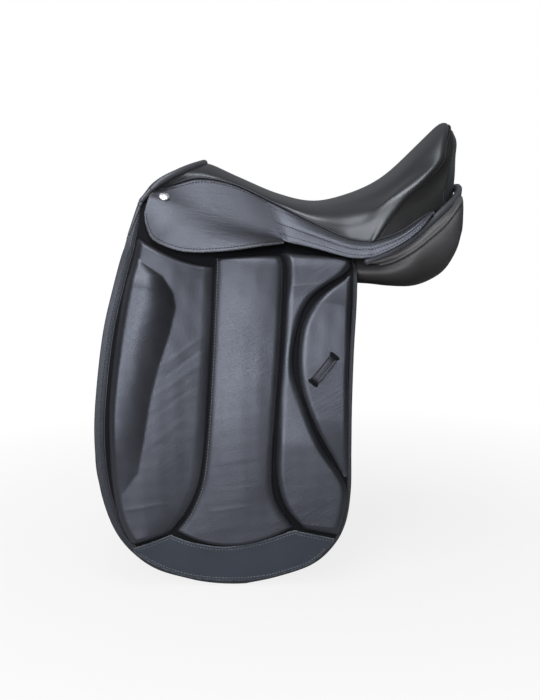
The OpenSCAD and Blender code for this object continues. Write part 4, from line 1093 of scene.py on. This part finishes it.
# the solids that show as they are, by how their names start
CAD_LOOKS = (
    (("tree_head", "tree_rails", "tree_cantle"), wood),
    (("gullet", "tree_spring", "stirrup_bar", "bar_", "catch_pin"), steel),
    (("skirt_stud",), chrome),
    (("seat_webs", "billet_web"), webbing),
    (("billet",), strap_hide),
    (("",), black),
)
for name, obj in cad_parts.items():
    obj.data.materials.clear()
    obj.data.materials.append(next(material for starts, material in CAD_LOOKS if name.startswith(starts)))


# stage, in metres: a white floor that the camera sees as paper, with a soft shadow under the saddle
FLOOR_HALF, FLOOR_GAP = 12.0, 0.002
z = min(cad_box[0][2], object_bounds()[0][2]) - FLOOR_GAP
mesh = bpy.data.meshes.new("floor")
corners = ((-1, -1), (1, -1), (1, 1), (-1, 1))
mesh.from_pydata([(x * FLOOR_HALF, y * FLOOR_HALF, z) for x, y in corners], [], [(0, 1, 2, 3)])
floor = link(bpy.data.objects.new("floor", mesh))
material, tree, coord, feed = painted("floor_paint")
feed(Base_Color=tree.mixed(tree.noise(coord, 1.5, 2), (0.40, 0.40, 0.40), (0.44, 0.44, 0.44)), Roughness=0.9)
far = tree.add("VectorMath", {0: coord}, operation="LENGTH").outputs["Value"]
seen = tree.add("LightPath").outputs["Is Camera Ray"]
paper = tree.maths("MULTIPLY", tree.ranged(far, 0.3, 1.0, 0.8, 1.0), seen)
shaders = (tree.nodes["Principled BSDF"].outputs[0], tree.add("Emission").outputs[0])
both = tree.add("MixShader", {0: paper, 1: shaders[0], 2: shaders[1]}).outputs[0]
tree.put(tree.nodes["Material Output"].inputs["Surface"], both)
mesh.materials.append(material)

# lamps: name, place, target, width, height, watts
LAMPS = (
    ("wide", (-0.55, -2.3, 0.55), (-0.05, -0.15, -0.1), 2.4, 2.4, 24),
    ("front", (-0.4, -2.25, 0.65), (-0.05, -0.15, -0.1), 1.15, 1.9, 30),
    ("over", (-0.2, -0.85, 2.15), (-0.1, -0.13, 0.08), 1.3, 1.3, 36),
    ("back", (-0.7, 2.3, -0.12), (0.0, 0.15, -0.12), 2.2, 0.5, 9),
)
for name, place, target, *sizes in LAMPS:
    data = bpy.data.lights.new(name, "AREA")
    data.shape = "ELLIPSE"
    data.size, data.size_y, data.energy = sizes
    lamp = link(bpy.data.objects.new(name, data))
    lamp.location = place
    lamp.rotation_euler = (Vector(target) - Vector(place)).to_track_quat("-Z", "Y").to_euler()

# dim room, brighter at the saddle's front; the camera sees a white backdrop, and so does what mirrors that side
scene = bpy.context.scene
scene.world = bpy.data.worlds.new("studio")
tree = Tree(scene.world)
coord = tree.add("TexCoord").outputs["Generated"]
level = tree.ranged(tree.split(coord, "X"), -0.9, 0.9, 0.17, 0.05)
behind = tree.ranged(tree.split(coord, "Y"), 0.15, 0.6, 0, 0.25)
rays = tree.add("LightPath").outputs
seen = tree.maths("MAXIMUM", rays["Is Camera Ray"], rays["Is Transmission Ray"])
seen = tree.maths("MAXIMUM", seen, tree.maths("MULTIPLY", rays["Is Glossy Ray"], behind))
room = tree.nodes["Background"].inputs
tree.put(room["Strength"], tree.add("Mix", {0: seen, 2: level, 3: 1.0}, data_type="FLOAT").outputs[0])
tree.put(room["Color"], tree.mixed(seen, (0.90, 0.94, 1.0), (1.0, 1.0, 1.0)))

CAMERA_PLACE, CAMERA_DOWN = (-0.055, -1.8711, 0.2299), 10
data = bpy.data.cameras.new("camera")
data.sensor_fit = "VERTICAL"
data.sensor_height = 36.0
data.lens = 65.14
scene.camera = link(bpy.data.objects.new("camera", data))
scene.camera.location = CAMERA_PLACE
scene.camera.rotation_euler = (math.radians(90 - CAMERA_DOWN), 0, 0)
scene.view_settings.view_transform = "Standard"
